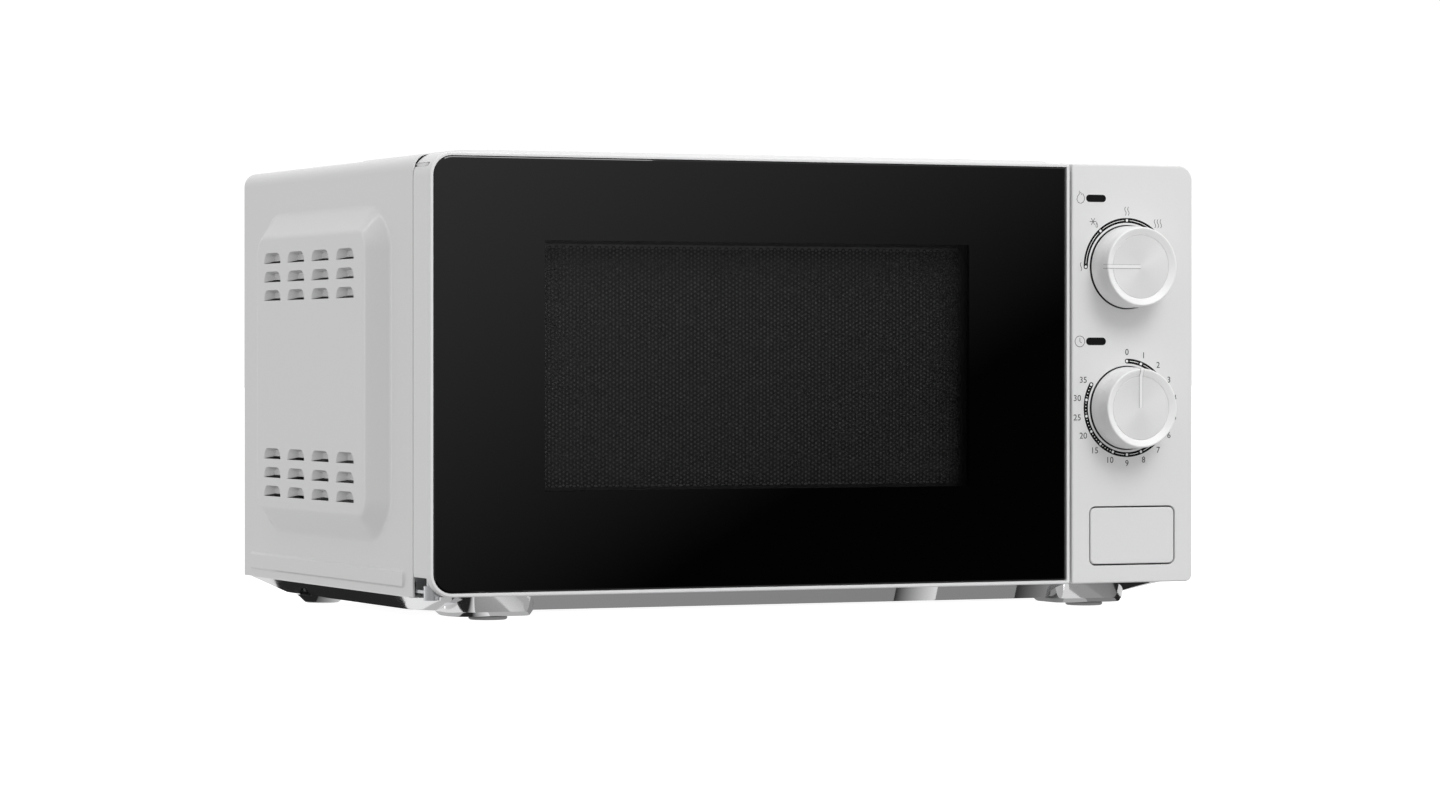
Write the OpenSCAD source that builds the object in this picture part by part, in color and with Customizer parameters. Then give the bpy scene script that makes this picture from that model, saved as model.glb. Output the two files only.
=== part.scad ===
// Small microwave oven with two dials and a push button that opens the door.
// Origin: middle of the footprint, on the surface that the oven stands on. +X right, +Y back, +Z up.

/* [Cabinet] */
// Width of the door and control panel together, which is also the cabinet's
front_w = 440; // [380:1:540]
// Height of the cabinet, from its lower edge to its flat top
body_h = 225; // [195:1:290]
// Depth of the cover, from its front edge to its rear edge
cover_d = 271.4; // [235:0.1:340]
// Height of the cabinet's lower edge above the surface that it stands on
foot_h = 12.8; // [11:0.1:20]
// Radius of the cabinet's two upper edges
edge_r = 7.5; // [4:0.5:12]
// Thickness of the cover, base, back and cavity sheet
sheet = 0.8; // [0.6:0.1:1.2]

/* [Raised panels and louvres] */
// How far each side panel stands out
side_raise = 7.5; // [3:0.1:10]
// How far the top panel stands up
top_raise = 4.5; // [2:0.1:8]
// Width of the sloping border of a side panel
side_slope = 15; // [8:0.5:20]
// Width of one louvre
louvre_w = 28; // [20:0.5:30]
// Height of one louvre
louvre_h = 5.8; // [4:0.1:7]
// Distance between neighbouring louvres in a row
louvre_pitch = 39.5; // [34:0.5:40]
// Distance between the rows of louvres
louvre_row = 10.2; // [8.5:0.1:11]

/* [Door and control panel] */
// Depth of the door and of the control panel
front_d = 24; // [22:0.5:32]
// Gap between the door and the cabinet behind it
front_gap = 0.8; // [0.6:0.1:1.5]
// Width of the control panel
panel_w = 73.6; // [66:0.1:90]
// Gap between the door and the control panel
panel_gap = 1.4; // [1:0.1:2]
// How much higher the door starts than the cabinet
door_lift = 0.8; // [0.5:0.1:3]
// Corner radius of the door at its hinge side
door_r = 12; // [6:0.5:18]
// Width of the light frame round the glass
bezel_w = 1.9; // [1.5:0.1:4]
// Thickness of the door glass
glass_t = 3; // [2.5:0.1:4]
// Wall of the plastic mouldings
wall = 2.4; // [2:0.1:3]
// Distance of the hinge pins from the door's hinge side
hinge_x = 5; // [4.5:0.1:5.4]
// Distance of the hinge pins from the door's front
hinge_y = 11; // [10:0.1:11]
// Radius of the hinge pins
pin_r = 2.5; // [2:0.1:2.7]
// Running clearance of shafts and pins, on the radius
run_fit = 0.08; // [0.05:0.01:0.1]

/* [Dials and button] */
// Diameter of a dial at its base
dial_d = 44.1; // [36:0.1:48]
// How far a dial stands out from the panel
dial_out = 17.1; // [12:0.1:22]
// Height of the timer dial's centre above the door's lower edge
timer_z = 94; // [80:0.5:110]
// Distance between the centres of the two dials
dial_gap = 75.7; // [62:0.1:84]
// Distance of the dials from the panel's outer side
dial_in = 40.4; // [36:0.1:44]
// Width of the release button
button_w = 51; // [36:0.5:56]
// Height of the release button
button_h = 30.2; // [24:0.1:36]
// Travel of the release button
button_travel = 5; // [4:0.5:5]

/* [Cavity and turntable] */
// Space between the cabinet's left side and the cavity
cav_side = 33; // [22:1:45]
// Width of the machine bay at the right of the cavity
bay_w = 107; // [105:1:130]
// Space under the cavity's floor
under_h = 23.2; // [22:0.1:30]
// Space over the cavity's top
over_h = 11.8; // [9:0.1:20]
// Space between the cavity's back and the cover's rear edge
cav_back = 8.4; // [8:0.1:20]
// Gap between the glass tray and the nearest cavity wall
tray_gap = 8.5; // [6:0.5:20]
// Radius of a turntable roller
roller_r = 7.5; // [6:0.1:9]

/* [Hidden] */
$fn = 64;
eps = 0.01;
play = 0.3;                       // clearance of pieces that don't bear on each other
xl = -front_w / 2;
xr = front_w / 2;
door_w = front_w - panel_w - panel_gap;
door_z = foot_h + door_lift;
door_h = body_h - 0.2;
body_top = foot_h + body_h;
front_y = dial_out - (dial_out + front_d + front_gap + cover_d) / 2;
cab_y = front_y + front_d + front_gap;
back_y = cab_y + cover_d;
back_in = 4;                      // the back panel sits this far inside the cover
panel_y = back_y - back_in;       // outer face of the back panel
panel_x = xl + door_w + panel_gap;

frame_t = 1;                      // thickness of the front plate
cav_x0 = xl + cav_side;
cav_x1 = xr - bay_w;
cav_z0 = foot_h + under_h;
cav_z1 = body_top - over_h;
cav_y0 = cab_y + frame_t;
cav_y1 = back_y - cav_back;
bay_x0 = cav_x1 + sheet;          // the machine bay's left side
bay_x1 = xr - sheet;
bay_x = (bay_x0 + bay_x1) / 2;
pan_z = 4.2;                      // underside of the base's floor
pan_in = 13;                      // slope of the base's side walls
pan_floor = pan_z + sheet;

turn_x = (cav_x0 + cav_x1) / 2;
turn_y = (cav_y0 + cav_y1) / 2;
tray_r = min(cav_x1 - cav_x0, cav_y1 - cav_y0) / 2 - tray_gap;
ring_r = tray_r - 31;             // middle of the roller ring
ring_w = 6;
ring_t = 4;
roller_w = 7;
roller_x = ring_r + ring_w / 2 + 1 + roller_w / 2;
axle_r = 1.6;
axle_z = cav_z0 + play + roller_r;
tray_z = axle_z + roller_r + play;
tray_t = 4.5;
tray_rim = 11;
coupler_r = 15;
coupler_t = 9;
coupler_up = 1.6;                 // gap between the coupler and the cavity's floor
shaft_r = 3;

panel_r = [0.6, 4, 8, 0.6];       // corner radii: bottom left, bottom right, top right, top left
dial_x = xr - dial_in;
timer_zc = door_z + timer_z;
power_zc = timer_zc + dial_gap;
dial_r = dial_d / 2;
dial_gap_y = 0.6;                 // a dial stands this far off the panel
cap_r = dial_r - 5;
button_x = dial_x + 3.4;
button_z = door_z + 25.3;
button_r = 3;
button_play = 0.8;
button_t = button_travel + 4;     // its skirt stays in the opening when pressed

hook_x = xl + door_w - 12;        // middle of the latch hooks
hook_w = 6;
hook_h = 8;
hook_z = [door_z + 48, door_z + door_h - 52];
hook_len = 14;                    // how far the hooks reach behind the door
hook_nose = 4;
hook_lift = 3;
bar_y = front_y + 8;
keep_y = cab_y + frame_t + 0.6;
lever_y = cab_y + 6.2;             // just behind the front plate
lever_z = button_z + 7.6;
lever_arm = 12;                   // pivot to the button's stem
stem_z = lever_z - lever_arm;
stem_x = button_x - 3;
stem_r = 2.5;
lever_r = 3;
pivot_r = 1.8;
lift_y = front_y + front_d + hook_len;

axis_x = xl + hinge_x;
axis_y = front_y + hinge_y;
notch_x = 14;
notch_h = 9.6;
upper_z = door_z + door_h - 8;    // underside of the upper hinge's slot

screen_x0 = cav_x0 - 15;
screen_x1 = cav_x1 + 12;
screen_z0 = cav_z0 - 15;
screen_z1 = cav_z1 + 6;
screen_y = front_y + 10;

wave_h = 36;                      // waveguide height, depth and reach
wave_y0 = cab_y + 106;
wave_d = 84;
wave_z = cav_z1 - 43;
mag_w = 78;
mag_x = bay_x0 + 47;
mag_y = wave_y0 + wave_d / 2;
mag_h = 43;
fan_y = panel_y - sheet - 22;     // rear of the blade's sweep
fan_r = 43;
fan_z = wave_z - mag_h / 2 - 6;
fan_x = bay_x;
trafo_x = bay_x0 + 2;
trafo_w = 80;
trafo_y = cab_y + 48;
trafo_d = 66;
trafo_h = 66;
cap_y = trafo_y + trafo_d + 45;   // high-voltage capacitor
cap_h = 33;
cap_d = 50;
cap_w = 76;
lamp_y = cab_y + 56;
lamp_z = cav_z1 - 30;

side_y0 = cab_y + 29.8;           // the side panels' outline
side_y1 = cab_y + 242;
side_z0 = foot_h + 25.4;
side_z1 = foot_h + 201.6 + (body_h - 225);
top_x0 = xl + 27;
top_x1 = xr - 45;
top_y0 = cab_y + 19.2;
top_y1 = back_y - 71;
row_z = [side_z1 - 28.3, side_z0 + 41.2];   // lower edge of the top row of each group
louvre_y0 = (side_y0 + side_y1) / 2 - 1.5 * louvre_pitch + 5.8;
screw_r = 1.7;
grommet_x = xr - 34;
grommet_z = foot_h + 34;
bore_r = 4.2;

// ---- shapes used by several pieces

// Rectangle with its own radius at each corner: bottom left, bottom right, top right, top left.
module panel2d(w, h, r = [0, 0, 0, 0]) {
    at = [[0, 0], [w, 0], [w, h], [0, h]];
    in = [[1, 1], [-1, 1], [-1, -1], [1, -1]];
    difference() {
        square([w, h]);
        for (i = [0:3]) if (r[i] > 0) translate(at[i] + r[i] * in[i]) difference() {
            rotate(90 * i) translate([-r[i] - 1, -r[i] - 1]) square(r[i] + 1);
            circle(r[i]);
        }
    }
}

// Stands a flat shape up in the front plane, from depth y0 to y1.
module upright(x, y0, y1, z) {
    translate([x, y1, z]) rotate([90, 0, 0]) linear_extrude(y1 - y0) children();
}

module block(x0, x1, y0, y1, z0, z1) {
    translate([x0, y0, z0]) cube([x1 - x0, y1 - y0, z1 - z0]);
}

module along_x(x, y, z) translate([x, y, z]) rotate([0, 90, 0]) children();
module along_y(x, y, z) translate([x, y, z]) rotate([-90, 0, 0]) children();

// Coil spring along Z, as one swept wire with closed ends.
module coil(r, wire, turns, h) {
    sides = 8;
    steps = 14 * turns;
    function at(i, k) = let (a = 360 * turns * i / steps, b = 360 * k / sides)
        [(r + wire * cos(b)) * cos(a), (r + wire * cos(b)) * sin(a), h * i / steps + wire * sin(b)];
    points = [for (i = [0:steps]) for (k = [0:sides - 1]) at(i, k)];
    walls = [for (i = [0:steps - 1]) for (k = [0:sides - 1])
        let (n = (k + 1) % sides) [i * sides + k, (i + 1) * sides + k, (i + 1) * sides + n, i * sides + n]];
    first = [for (k = [0:sides - 1]) k];
    last = [for (k = [sides - 1:-1:0]) steps * sides + k];
    polyhedron(points, concat(walls, [first], [last]), convexity = 8);
}

// Pan-head screw with its head's underside at the origin, pointing down -Z.
module screw(len, r = screw_r) {
    cylinder(h = 2, r1 = r * 2, r2 = r * 1.5);
    translate([0, 0, -len]) cylinder(h = len + eps, r = r);
}

// Block whose lower face is smaller than its upper one, all round by the same slope.
module tapered(x0, x1, y0, y1, z0, z1, slope, r) {
    hull() {
        block_r(x0, x1, y0, y1, z1 - eps, z1, r);
        block_r(x0 + slope, x1 - slope, y0 + slope, y1 - slope, z0, z0 + eps, r);
    }
}

module block_r(x0, x1, y0, y1, z0, z1, r) {
    translate([x0, y0, z0]) linear_extrude(z1 - z0) panel2d(x1 - x0, y1 - y0, [r, r, r, r], $fn = 32);
}

// ---- cabinet

// Outline of a side panel with sloping corners, as a slab from x0 to x1.
module side_slab(x0, x1, inset, corner) {
    y0 = side_y0 + inset;
    y1 = side_y1 - inset;
    z0 = side_z0 + inset;
    z1 = side_z1 - inset;
    c = corner;
    translate([x1, 0, 0]) rotate([0, -90, 0]) linear_extrude(x1 - x0) polygon([
        [z0, y0 + c], [z0 + c, y0], [z1 - c, y0], [z1, y0 + c],
        [z1, y1 - c], [z1 - c, y1], [z0 + c, y1], [z0, y1 - c]]);
}

// A raised side panel as a closed block; deep is how far it reaches into the cabinet.
module side_block(grow, deep) {
    hull() {
        side_slab(xl - eps, xl + deep, sheet - grow, 24);
        side_slab(xl - side_raise + sheet - grow, xl, side_slope + sheet - grow, 9);
    }
}

module top_block(grow, deep) {
    g = sheet - grow;
    slope = top_raise * 2.2;
    hull() {
        block_r(top_x0 + g, top_x1 - g, top_y0 + g, top_y1 - g, body_top - deep, body_top + eps, 20);
        block_r(top_x0 + slope + g, top_x1 - slope - g, top_y0 + slope + g, top_y1 - slope - g,
            body_top, body_top + top_raise - g, 12);
    }
}

// Places children at each louvre of the left side: origin at the middle of its lower edge.
module at_louvres() {
    for (z = row_z, k = [0:2], i = [0:3])
        translate([xl - side_raise, louvre_y0 + i * louvre_pitch, z - k * louvre_row]) children();
}

module louvre_hole() {
    rotate([90, 0, 90]) translate([0, 0, -1]) linear_extrude(sheet + 2) polygon([
        [-louvre_w / 2, 0], [louvre_w / 2, 0], [louvre_w / 3, louvre_h * 0.8],
        [louvre_w / 3.6, louvre_h], [-louvre_w / 3.6, louvre_h], [-louvre_w / 3, louvre_h * 0.8]]);
}

// The pressed-in tongue that hoods a louvre, hanging from the hole's upper edge.
module louvre_tongue() {
    translate([sheet / 2, 0, louvre_h]) rotate([0, -32, 0]) rotate([90, 0, 90]) translate([0,
        -louvre_h, -0.3])
        linear_extrude(0.6) polygon([
            [-louvre_w / 2 + 2, 0], [louvre_w / 2 - 2, 0], [louvre_w / 3.6, louvre_h + 0.3],
            [-louvre_w / 3.6, louvre_h + 0.3]]);
}

module wrap() {
    upright(xl, cab_y, back_y, foot_h) difference() {
        panel2d(front_w, body_h, [0, 0, edge_r, edge_r]);
        translate([sheet, -eps]) panel2d(front_w - 2 * sheet, body_h - sheet + eps,
            [0, 0, edge_r - sheet, edge_r - sheet]);
    }
}

module outer_cover() color("whitesmoke") {
    difference() {
        union() {
            wrap();
            for (s = [0, 1]) mirror([s, 0, 0]) side_block(sheet, eps);
            top_block(sheet, eps);
        }
        for (s = [0, 1]) mirror([s, 0, 0]) {
            side_block(0, sheet + 1);
            at_louvres() louvre_hole();
        }
        top_block(0, sheet + 1);
    }
    for (s = [0, 1]) mirror([s, 0, 0]) {
        at_louvres() louvre_tongue();
        rib_y0 = cab_y + 11.3;
        rib_y1 = back_y - 10.2;
        block(xl - 0.5, xl + eps, rib_y0, rib_y1, foot_h + 3.9, foot_h + 13.7);
    }
}

pan_x = xl + sheet + 0.2;
pan_y0 = cab_y + frame_t + 0.4;
pan_y1 = panel_y - sheet - 0.2;
boss_x = [46, front_w - 46];      // front feet, from the cabinet's left side
boss_y = front_y + 38;
boss_z = 1.9;
boss_out = 24;                    // how far a front boss reaches round its foot
peg_r = 3;                        // peg that snaps a foot into its boss
flange_h = 9;
rear_r = 9;
rear_x = [23.4, front_w - 23.4];  // rear feet, pressed into the base
rear_y = front_y + 231 + (cover_d - 271.4);

module pan_solid(g) {
    tapered(pan_x + g, -pan_x - g, pan_y0 + g, pan_y1 - g, pan_z + g, foot_h + 2 * g,
        pan_in - 3 * g / 8, 6);
}

module boss_solid(x, g) {
    tapered(xl + x - boss_out + g, xl + x + boss_out - g, pan_y0 + g, boss_y + boss_out - 2 - g, boss_z + g,
        foot_h + 2 * g, 1.8 + g / 6, 4);
}

module rear_foot(g) {
    for (x = rear_x) translate([xl + x, rear_y, g]) cylinder(h = pan_z + 3, r1 = rear_r - g,
        r2 = rear_r + 5 - g);
}

module base_pan() color("silver") difference() {
    union() {
        pan_solid(0);
        for (x = boss_x) boss_solid(x, 0);
        rear_foot(0);
        // upright flanges inside the cover
        for (s = [0, 1]) mirror([s, 0, 0])
            block(pan_x, pan_x + sheet, pan_y0, pan_y1, foot_h - 1, foot_h + flange_h);
    }
    difference() {
        pan_solid(sheet);
        rear_foot(0);
    }
    rear_foot(sheet);
    for (x = boss_x) {
        boss_solid(x, sheet);
        translate([xl + x, boss_y, 0]) cylinder(h = 10, r = peg_r + 0.1);
    }
    // air slots under the machine bay
    for (i = [-2:2]) block(bay_x - 30, bay_x + 30, trafo_y + trafo_d + 20 + i * 6,
        trafo_y + trafo_d + 22 + i * 6,
        pan_z - 1, pan_z + 3);
}

module front_feet() color("gray") for (x = boss_x) translate([xl + x, boss_y, 0]) {
    cylinder(h = boss_z - 0.02, r = 10);
    cylinder(h = 6, r = peg_r);
    translate([0, 0, boss_z + sheet + 0.05]) cylinder(h = 1.2, r = peg_r + 1.4);
}

screw_at = [[16, 16], [front_w - 16, 16], [16, body_h - 14], [front_w - 16, body_h - 14],
    [cav_side + 40, body_h - 14], [front_w - bay_w + 6, body_h - 14]];

module back_panel() color("gainsboro") difference() {
    upright(xl + sheet + play, panel_y - sheet, panel_y, foot_h + 2)
        panel2d(front_w - 2 * (sheet + play), body_h - 2 - sheet - play, [2, 2, edge_r, edge_r]);
    for (p = screw_at) along_y(xl + p[0], panel_y - 2, foot_h + p[1]) cylinder(h = 4, r = screw_r + 0.1);
    for (i = [-5:5], j = [-5:5]) if (norm([i, j]) < 5.6)
        along_y(fan_x + i * 7, panel_y - 2, fan_z + j * 7) cylinder(h = 4, r = 2.3);
    for (i = [0:13], j = [0:2])
        along_y(cav_x0 + 20 + i * 7, panel_y - 2, cav_z1 - 22 + j * 7) cylinder(h = 4, r = 2);
    along_y(grommet_x, panel_y - 2, grommet_z) cylinder(h = 4, r = 7.6);
}

module casing_screws() color("dimgray") for (p = screw_at)
    translate([xl + p[0], panel_y + 0.02, foot_h + p[1]]) rotate([-90, 0, 0]) screw(2);

module cord_grommet() color([0.1, 0.1, 0.1]) along_y(grommet_x, panel_y - 5, grommet_z) rotate_extrude()
    polygon([[bore_r, 0], [8.6, 0], [8.6, 5 - sheet - 0.05], [7.4, 5 - sheet - 0.05],
        [7.4, 5.05], [9, 5.05], [8, 8.9], [bore_r, 8.9]]);

// ---- cooking box

slot_w = hook_w + 4;

module front_frame() color("lightgray") {
    x0 = xl + sheet + play;
    x1 = panel_x - 2;
    z0 = foot_h + 2.2;
    z1 = body_top - sheet - play;
    difference() {
        upright(x0, cab_y, cab_y + frame_t, z0) panel2d(x1 - x0, z1 - z0, [0, 0, 0, edge_r]);
        block(cav_x0, cav_x1, cab_y - 1, cab_y + 3, cav_z0, cav_z1);
        for (z = hook_z) block(hook_x - slot_w / 2, hook_x + slot_w / 2, cab_y - 1, cab_y + 3,
            z - hook_nose - hook_h / 2 - 2, z + hook_h / 2 + hook_lift + 2);
        block(xl, xl + notch_x + 2, cab_y - 1, cab_y + 3, foot_h, foot_h + 8);
        block(xl, xl + notch_x + 2, cab_y - 1, cab_y + 3, upper_z - 1, body_top);
    }
}

module cavity_grid(x, y, z, ny, nz) {
    for (i = [0:ny - 1], j = [0:nz - 1]) along_x(x - 2, y + i * 5.5, z + j * 5.5) cylinder(h = 4, r = 1.7);
}

module cavity() color("whitesmoke") difference() {
    block(cav_x0 - sheet, cav_x1 + sheet, cav_y0, cav_y1 + sheet, cav_z0 - sheet, cav_z1 + sheet);
    block(cav_x0, cav_x1, cav_y0 - 1, cav_y1, cav_z0, cav_z1);
    translate([turn_x, turn_y, cav_z0 - 2]) cylinder(h = 4, r = shaft_r + 3);
    block(cav_x1 - 1, cav_x1 + 2, wave_y0 + 4, wave_y0 + wave_d - 4, wave_z + 3, wave_z + wave_h - 3);
    cavity_grid(cav_x1, lamp_y - 11, lamp_z - 8, 5, 4);
    cavity_grid(cav_x1, cab_y + 76, wave_z - 36, 5, 6);
    cavity_grid(cav_x0, cav_y1 - 60, cav_z1 - 50, 8, 5);
}

module waveguide() color("gainsboro") difference() {
    block(bay_x0, mag_x + 44, wave_y0, wave_y0 + wave_d, wave_z, wave_z + wave_h);
    block(bay_x0 - 1, mag_x + 44 - sheet, wave_y0 + sheet, wave_y0 + wave_d - sheet,
        wave_z + sheet, wave_z + wave_h - sheet);
    translate([mag_x, mag_y, wave_z - 1]) cylinder(h = 3, r = 10.4);
}

module feed_cover() color("tan")
    block(cav_x1 - 0.5, cav_x1 - 0.02, wave_y0 - 1, wave_y0 + wave_d + 1, wave_z - 2, wave_z + wave_h + 2);

// ---- power supply and magnetron

module magnetron_yoke() color("silver") difference() {
    block(mag_x - mag_w / 2, mag_x + mag_w / 2, mag_y - 46, mag_y + 46, wave_z - mag_h, wave_z - 0.05);
    block(mag_x - mag_w / 2 + 1.5, mag_x + mag_w / 2 - 1.5, mag_y - 50, mag_y + 50,
        wave_z - mag_h + 1.5, wave_z - 1.55);
    for (z = [wave_z - mag_h - 1, wave_z - 2]) translate([mag_x, mag_y, z]) cylinder(h = 4, r = 12);
}

module magnetron_fins() color("lightsteelblue") {
    n = 7;
    step = (mag_h - 12) / n;
    for (i = [0:n - 1]) translate([0, 0, wave_z - mag_h + 5 + i * step]) difference() {
        block(mag_x - 34, mag_x + 34, mag_y - 40, mag_y + 40, 0, 0.8);
        translate([mag_x, mag_y, -1]) cylinder(h = 3, r = 19.9);
    }
    translate([mag_x, mag_y, wave_z - mag_h + 2]) cylinder(h = mag_h - 4.2, r = 20);
}

module magnetron_antenna() color("coral") {
    translate([mag_x, mag_y, wave_z - 2]) cylinder(h = 9, r = 9.5);
    translate([mag_x, mag_y, wave_z + 7 - eps]) cylinder(h = 13, r = 7.5);
}

module magnetron_filter() color("lightgray") {
    z = wave_z - mag_h;
    difference() {
        block(mag_x - 30, mag_x + 30, mag_y - 36, mag_y + 36, z - 30, z - 0.05);
        block(mag_x - 29, mag_x + 29, mag_y - 35, mag_y + 35, z - 29, z - 1.05);
    }
    block(mag_x - 12, mag_x + 12, mag_y - 44, mag_y - 36 + eps, z - 22, z - 8);
}

module transformer_core() color("dimgray") difference() {
    block(trafo_x, trafo_x + trafo_w, trafo_y, trafo_y + trafo_d, pan_floor, pan_floor + trafo_h);
    for (s = [0, 1]) translate([trafo_x + 12 + s * (trafo_w / 2 - 6), 0, 0])
        block(0, trafo_w / 2 - 18, trafo_y - 1, trafo_y + trafo_d + 1, pan_floor + 14,
            pan_floor + trafo_h - 14);
}

module transformer_windings() color("peru") {
    c = trafo_x + trafo_w / 2;
    z0 = pan_floor + 14.3;
    z1 = pan_floor + trafo_h - 14.3;
    for (y = [[-9, trafo_d / 2 - 3], [trafo_d / 2 + 3, trafo_d + 9]]) difference() {
        block_r(c - 27.5, c + 27.5, trafo_y + y[0], trafo_y + y[1], z0, z1, 6);
        block(c - 6.3, c + 6.3, trafo_y - eps, trafo_y + trafo_d + eps, z0 - 1, z1 + 1);
    }
}

cap_x = bay_x0 + 12;

module hv_capacitor() color("gainsboro") {
    z = pan_floor + 1.4;
    translate([cap_x, cap_y, z]) rotate([90, 0, 90]) linear_extrude(cap_w) union() {
        square([cap_d - cap_h, cap_h]);
        for (s = [0, 1]) translate([s * (cap_d - cap_h), cap_h / 2]) circle(cap_h / 2);
    }
    for (s = [-1, 1]) block(cap_x + cap_w - eps, cap_x + cap_w + 7,
        cap_y + (cap_d - cap_h) / 2 + s * 9 - 3, cap_y + (cap_d - cap_h) / 2 + s * 9 + 3, z + 16, z + 16.8);
}

module capacitor_clamp() color("silver") {
    z = pan_floor;
    translate([cap_x + 22, cap_y, z]) rotate([90, 0, 90]) linear_extrude(12) difference() {
        union() {
            square([cap_d - cap_h, cap_h + 2.6]);
            for (s = [0, 1]) translate([s * (cap_d - cap_h), cap_h / 2 + 1.4]) circle(cap_h / 2 + 1.2);
            translate([-cap_h / 2 - 9, 0]) square([cap_d + 18, 1]);
        }
        translate([0, 1.4]) square([cap_d - cap_h, cap_h]);
        for (s = [0, 1]) translate([s * (cap_d - cap_h), cap_h / 2 + 1.4]) circle(cap_h / 2);
        translate([-60, -6]) square([140, 6]);
    }
}

module hv_diode() color([0.15, 0.15, 0.15]) {
    x = cap_x + cap_w / 2 + 10;
    y = cap_y - cap_h / 2 - 15;
    along_x(x, y, pan_floor + 12) cylinder(h = 22, r = 4);
    along_x(x - 16, y, pan_floor + 12) cylinder(h = 54, r = 0.7);
    block(x - 20, x - 16 + eps, y - 4, y + 4, pan_floor + 0.05, pan_floor + 15);
}

// ---- cooling and light

module fan_shroud() color("lightgray") {
    y0 = fan_y - 14;
    difference() {
        union() {
            block(bay_x0 + 3, bay_x1 - 3, y0, y0 + 1.6, fan_z - 48, fan_z + 48);
            along_y(fan_x, y0, fan_z) cylinder(h = 12, r = fan_r + 3.4);
        }
        along_y(fan_x, y0 - 1, fan_z) cylinder(h = 15, r = fan_r + 2);
    }
}

module fan_motor() color("slategray") {
    y0 = fan_y + 3;
    difference() {
        block(fan_x - 28, fan_x + 28, y0, y0 + 14, fan_z - 24, fan_z + 24);
        block(fan_x - 15, fan_x + 15, y0 - 1, y0 + 16, fan_z - 40, fan_z - 14);
        along_y(fan_x, y0 - 1, fan_z) cylinder(h = 12, r = 1.6);
    }
    block(fan_x - 14, fan_x + 14, y0 + 1, y0 + 13, fan_z - 34, fan_z - 14.3);
    for (s = [-1, 1]) block(fan_x + s * 24 - 3, fan_x + s * 24 + 3, y0 + 14 - eps, panel_y - sheet - 0.05,
        fan_z - 4, fan_z + 4);
}

module fan_blade() color("whitesmoke") {
    along_y(fan_x, fan_y - 10, fan_z) cylinder(h = 12, r = 8);
    along_y(fan_x, fan_y - 6, fan_z) cylinder(h = 16, r = 1.5);
    for (i = [0:4]) along_y(fan_x, fan_y - 4, fan_z) rotate(72 * i) translate([6, 0, 0]) rotate([35, 0, 0])
        linear_extrude(1.4) polygon([[0, -6], [fan_r - 8, -11], [fan_r - 6.5, 0], [fan_r - 8, 11], [0, 6]]);
}

module air_duct() color("lightgray") {
    y0 = cab_y + 70;
    y1 = wave_y0 - 6;
    z0 = wave_z - 41;
    z1 = wave_z - 2;
    difference() {
        block(bay_x0 + 0.05, bay_x0 + 84, y0, y1, z0, z1);
        block(bay_x0 - 1, bay_x0 + 82, y0 + 2, y1 + 2, z0 + 2, z1 - 2);
        translate([bay_x0 + 30, y0 - 2, z0 - 1]) rotate(-24) cube([90, 30, z1 - z0 + 2]);
    }
    translate([bay_x0 + 30, y0 - 2, z0]) rotate(-24) translate([-22, 30, 0]) cube([60, 2, z1 - z0]);
}

module oven_lamp() color("lightyellow") {
    along_x(bay_x0 + 3, lamp_y, lamp_z) cylinder(h = 14, r = 8);
    along_x(bay_x0 + 17 - eps, lamp_y, lamp_z) cylinder(h = 8, r = 6);
}

module lamp_holder() color("ivory") difference() {
    union() {
        along_x(bay_x0 + 19, lamp_y, lamp_z) cylinder(h = 14, r = 9);
        block(bay_x0 + 24, bay_x0 + 26, lamp_y - 16, lamp_y + 16, lamp_z - 12, lamp_z + 12);
        for (s = [-1, 1]) block(bay_x0 + 0.05, bay_x0 + 26, lamp_y + s * 15 - 1, lamp_y + s * 15 + 1,
            lamp_z - 12, lamp_z + 12);
    }
    along_x(bay_x0 + 18, lamp_y, lamp_z) cylinder(h = 8, r = 6.1);
}

module thermal_cutouts() color("beige") {
    translate([mag_x - 10, mag_y, wave_z + wave_h + 0.05]) cylinder(h = 1, r = 8);
    translate([mag_x - 10, mag_y, wave_z + wave_h + 1]) cylinder(h = 6, r = 6);
    along_x(bay_x0 + 0.05, cav_y1 - 60, cav_z1 - 90) cylinder(h = 1, r = 8);
    along_x(bay_x0 + 1, cav_y1 - 60, cav_z1 - 90) cylinder(h = 7, r = 6);
}

module filter_board() color("seagreen") {
    y = panel_y - sheet - 8;
    z = cav_z1 - 28;
    block(bay_x - 36, bay_x + 36, y, y + 1.6, z, z + 34);
    block(bay_x - 30, bay_x - 12, y - 12, y + eps, z + 6, z + 26);
    block(bay_x - 6, bay_x + 6, y - 9, y + eps, z + 8, z + 24);
    along_x(bay_x + 10, y - 3.5, z + 10) cylinder(h = 20, r = 3.2);
    for (s = [-1, 1], k = [0, 1]) along_y(bay_x + s * 32, y + 1.6 - eps, z + 4 + k * 26)
        cylinder(h = 6.35, r = 2);
}

// ---- turntable

module turntable_motor() color("silver") {
    z1 = cav_z0 - sheet - 0.05;
    translate([turn_x, turn_y, z1 - 14]) difference() {
        cylinder(h = 14, r = 24.5);
        translate([0, 0, 4]) cylinder(h = 12, r = shaft_r + run_fit);
    }
    for (s = [-1, 1]) block(turn_x + s * 28 - 5, turn_x + s * 28 + 5, turn_y - 4, turn_y + 4, z1 - 1, z1);
    block(turn_x - 10, turn_x + 10, turn_y + 23, turn_y + 33, z1 - 12, z1 - 4);
}

module turntable_coupler() color("white") {
    translate([turn_x, turn_y, cav_z0 - 10]) cylinder(h = 11 + coupler_up, r = shaft_r);
    translate([turn_x, turn_y, cav_z0 + coupler_up]) linear_extrude(coupler_t) union() {
        circle(6);
        for (i = [0:2]) rotate(120 * i) translate([2, -3]) square([coupler_r - 2, 6]);
    }
}

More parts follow.
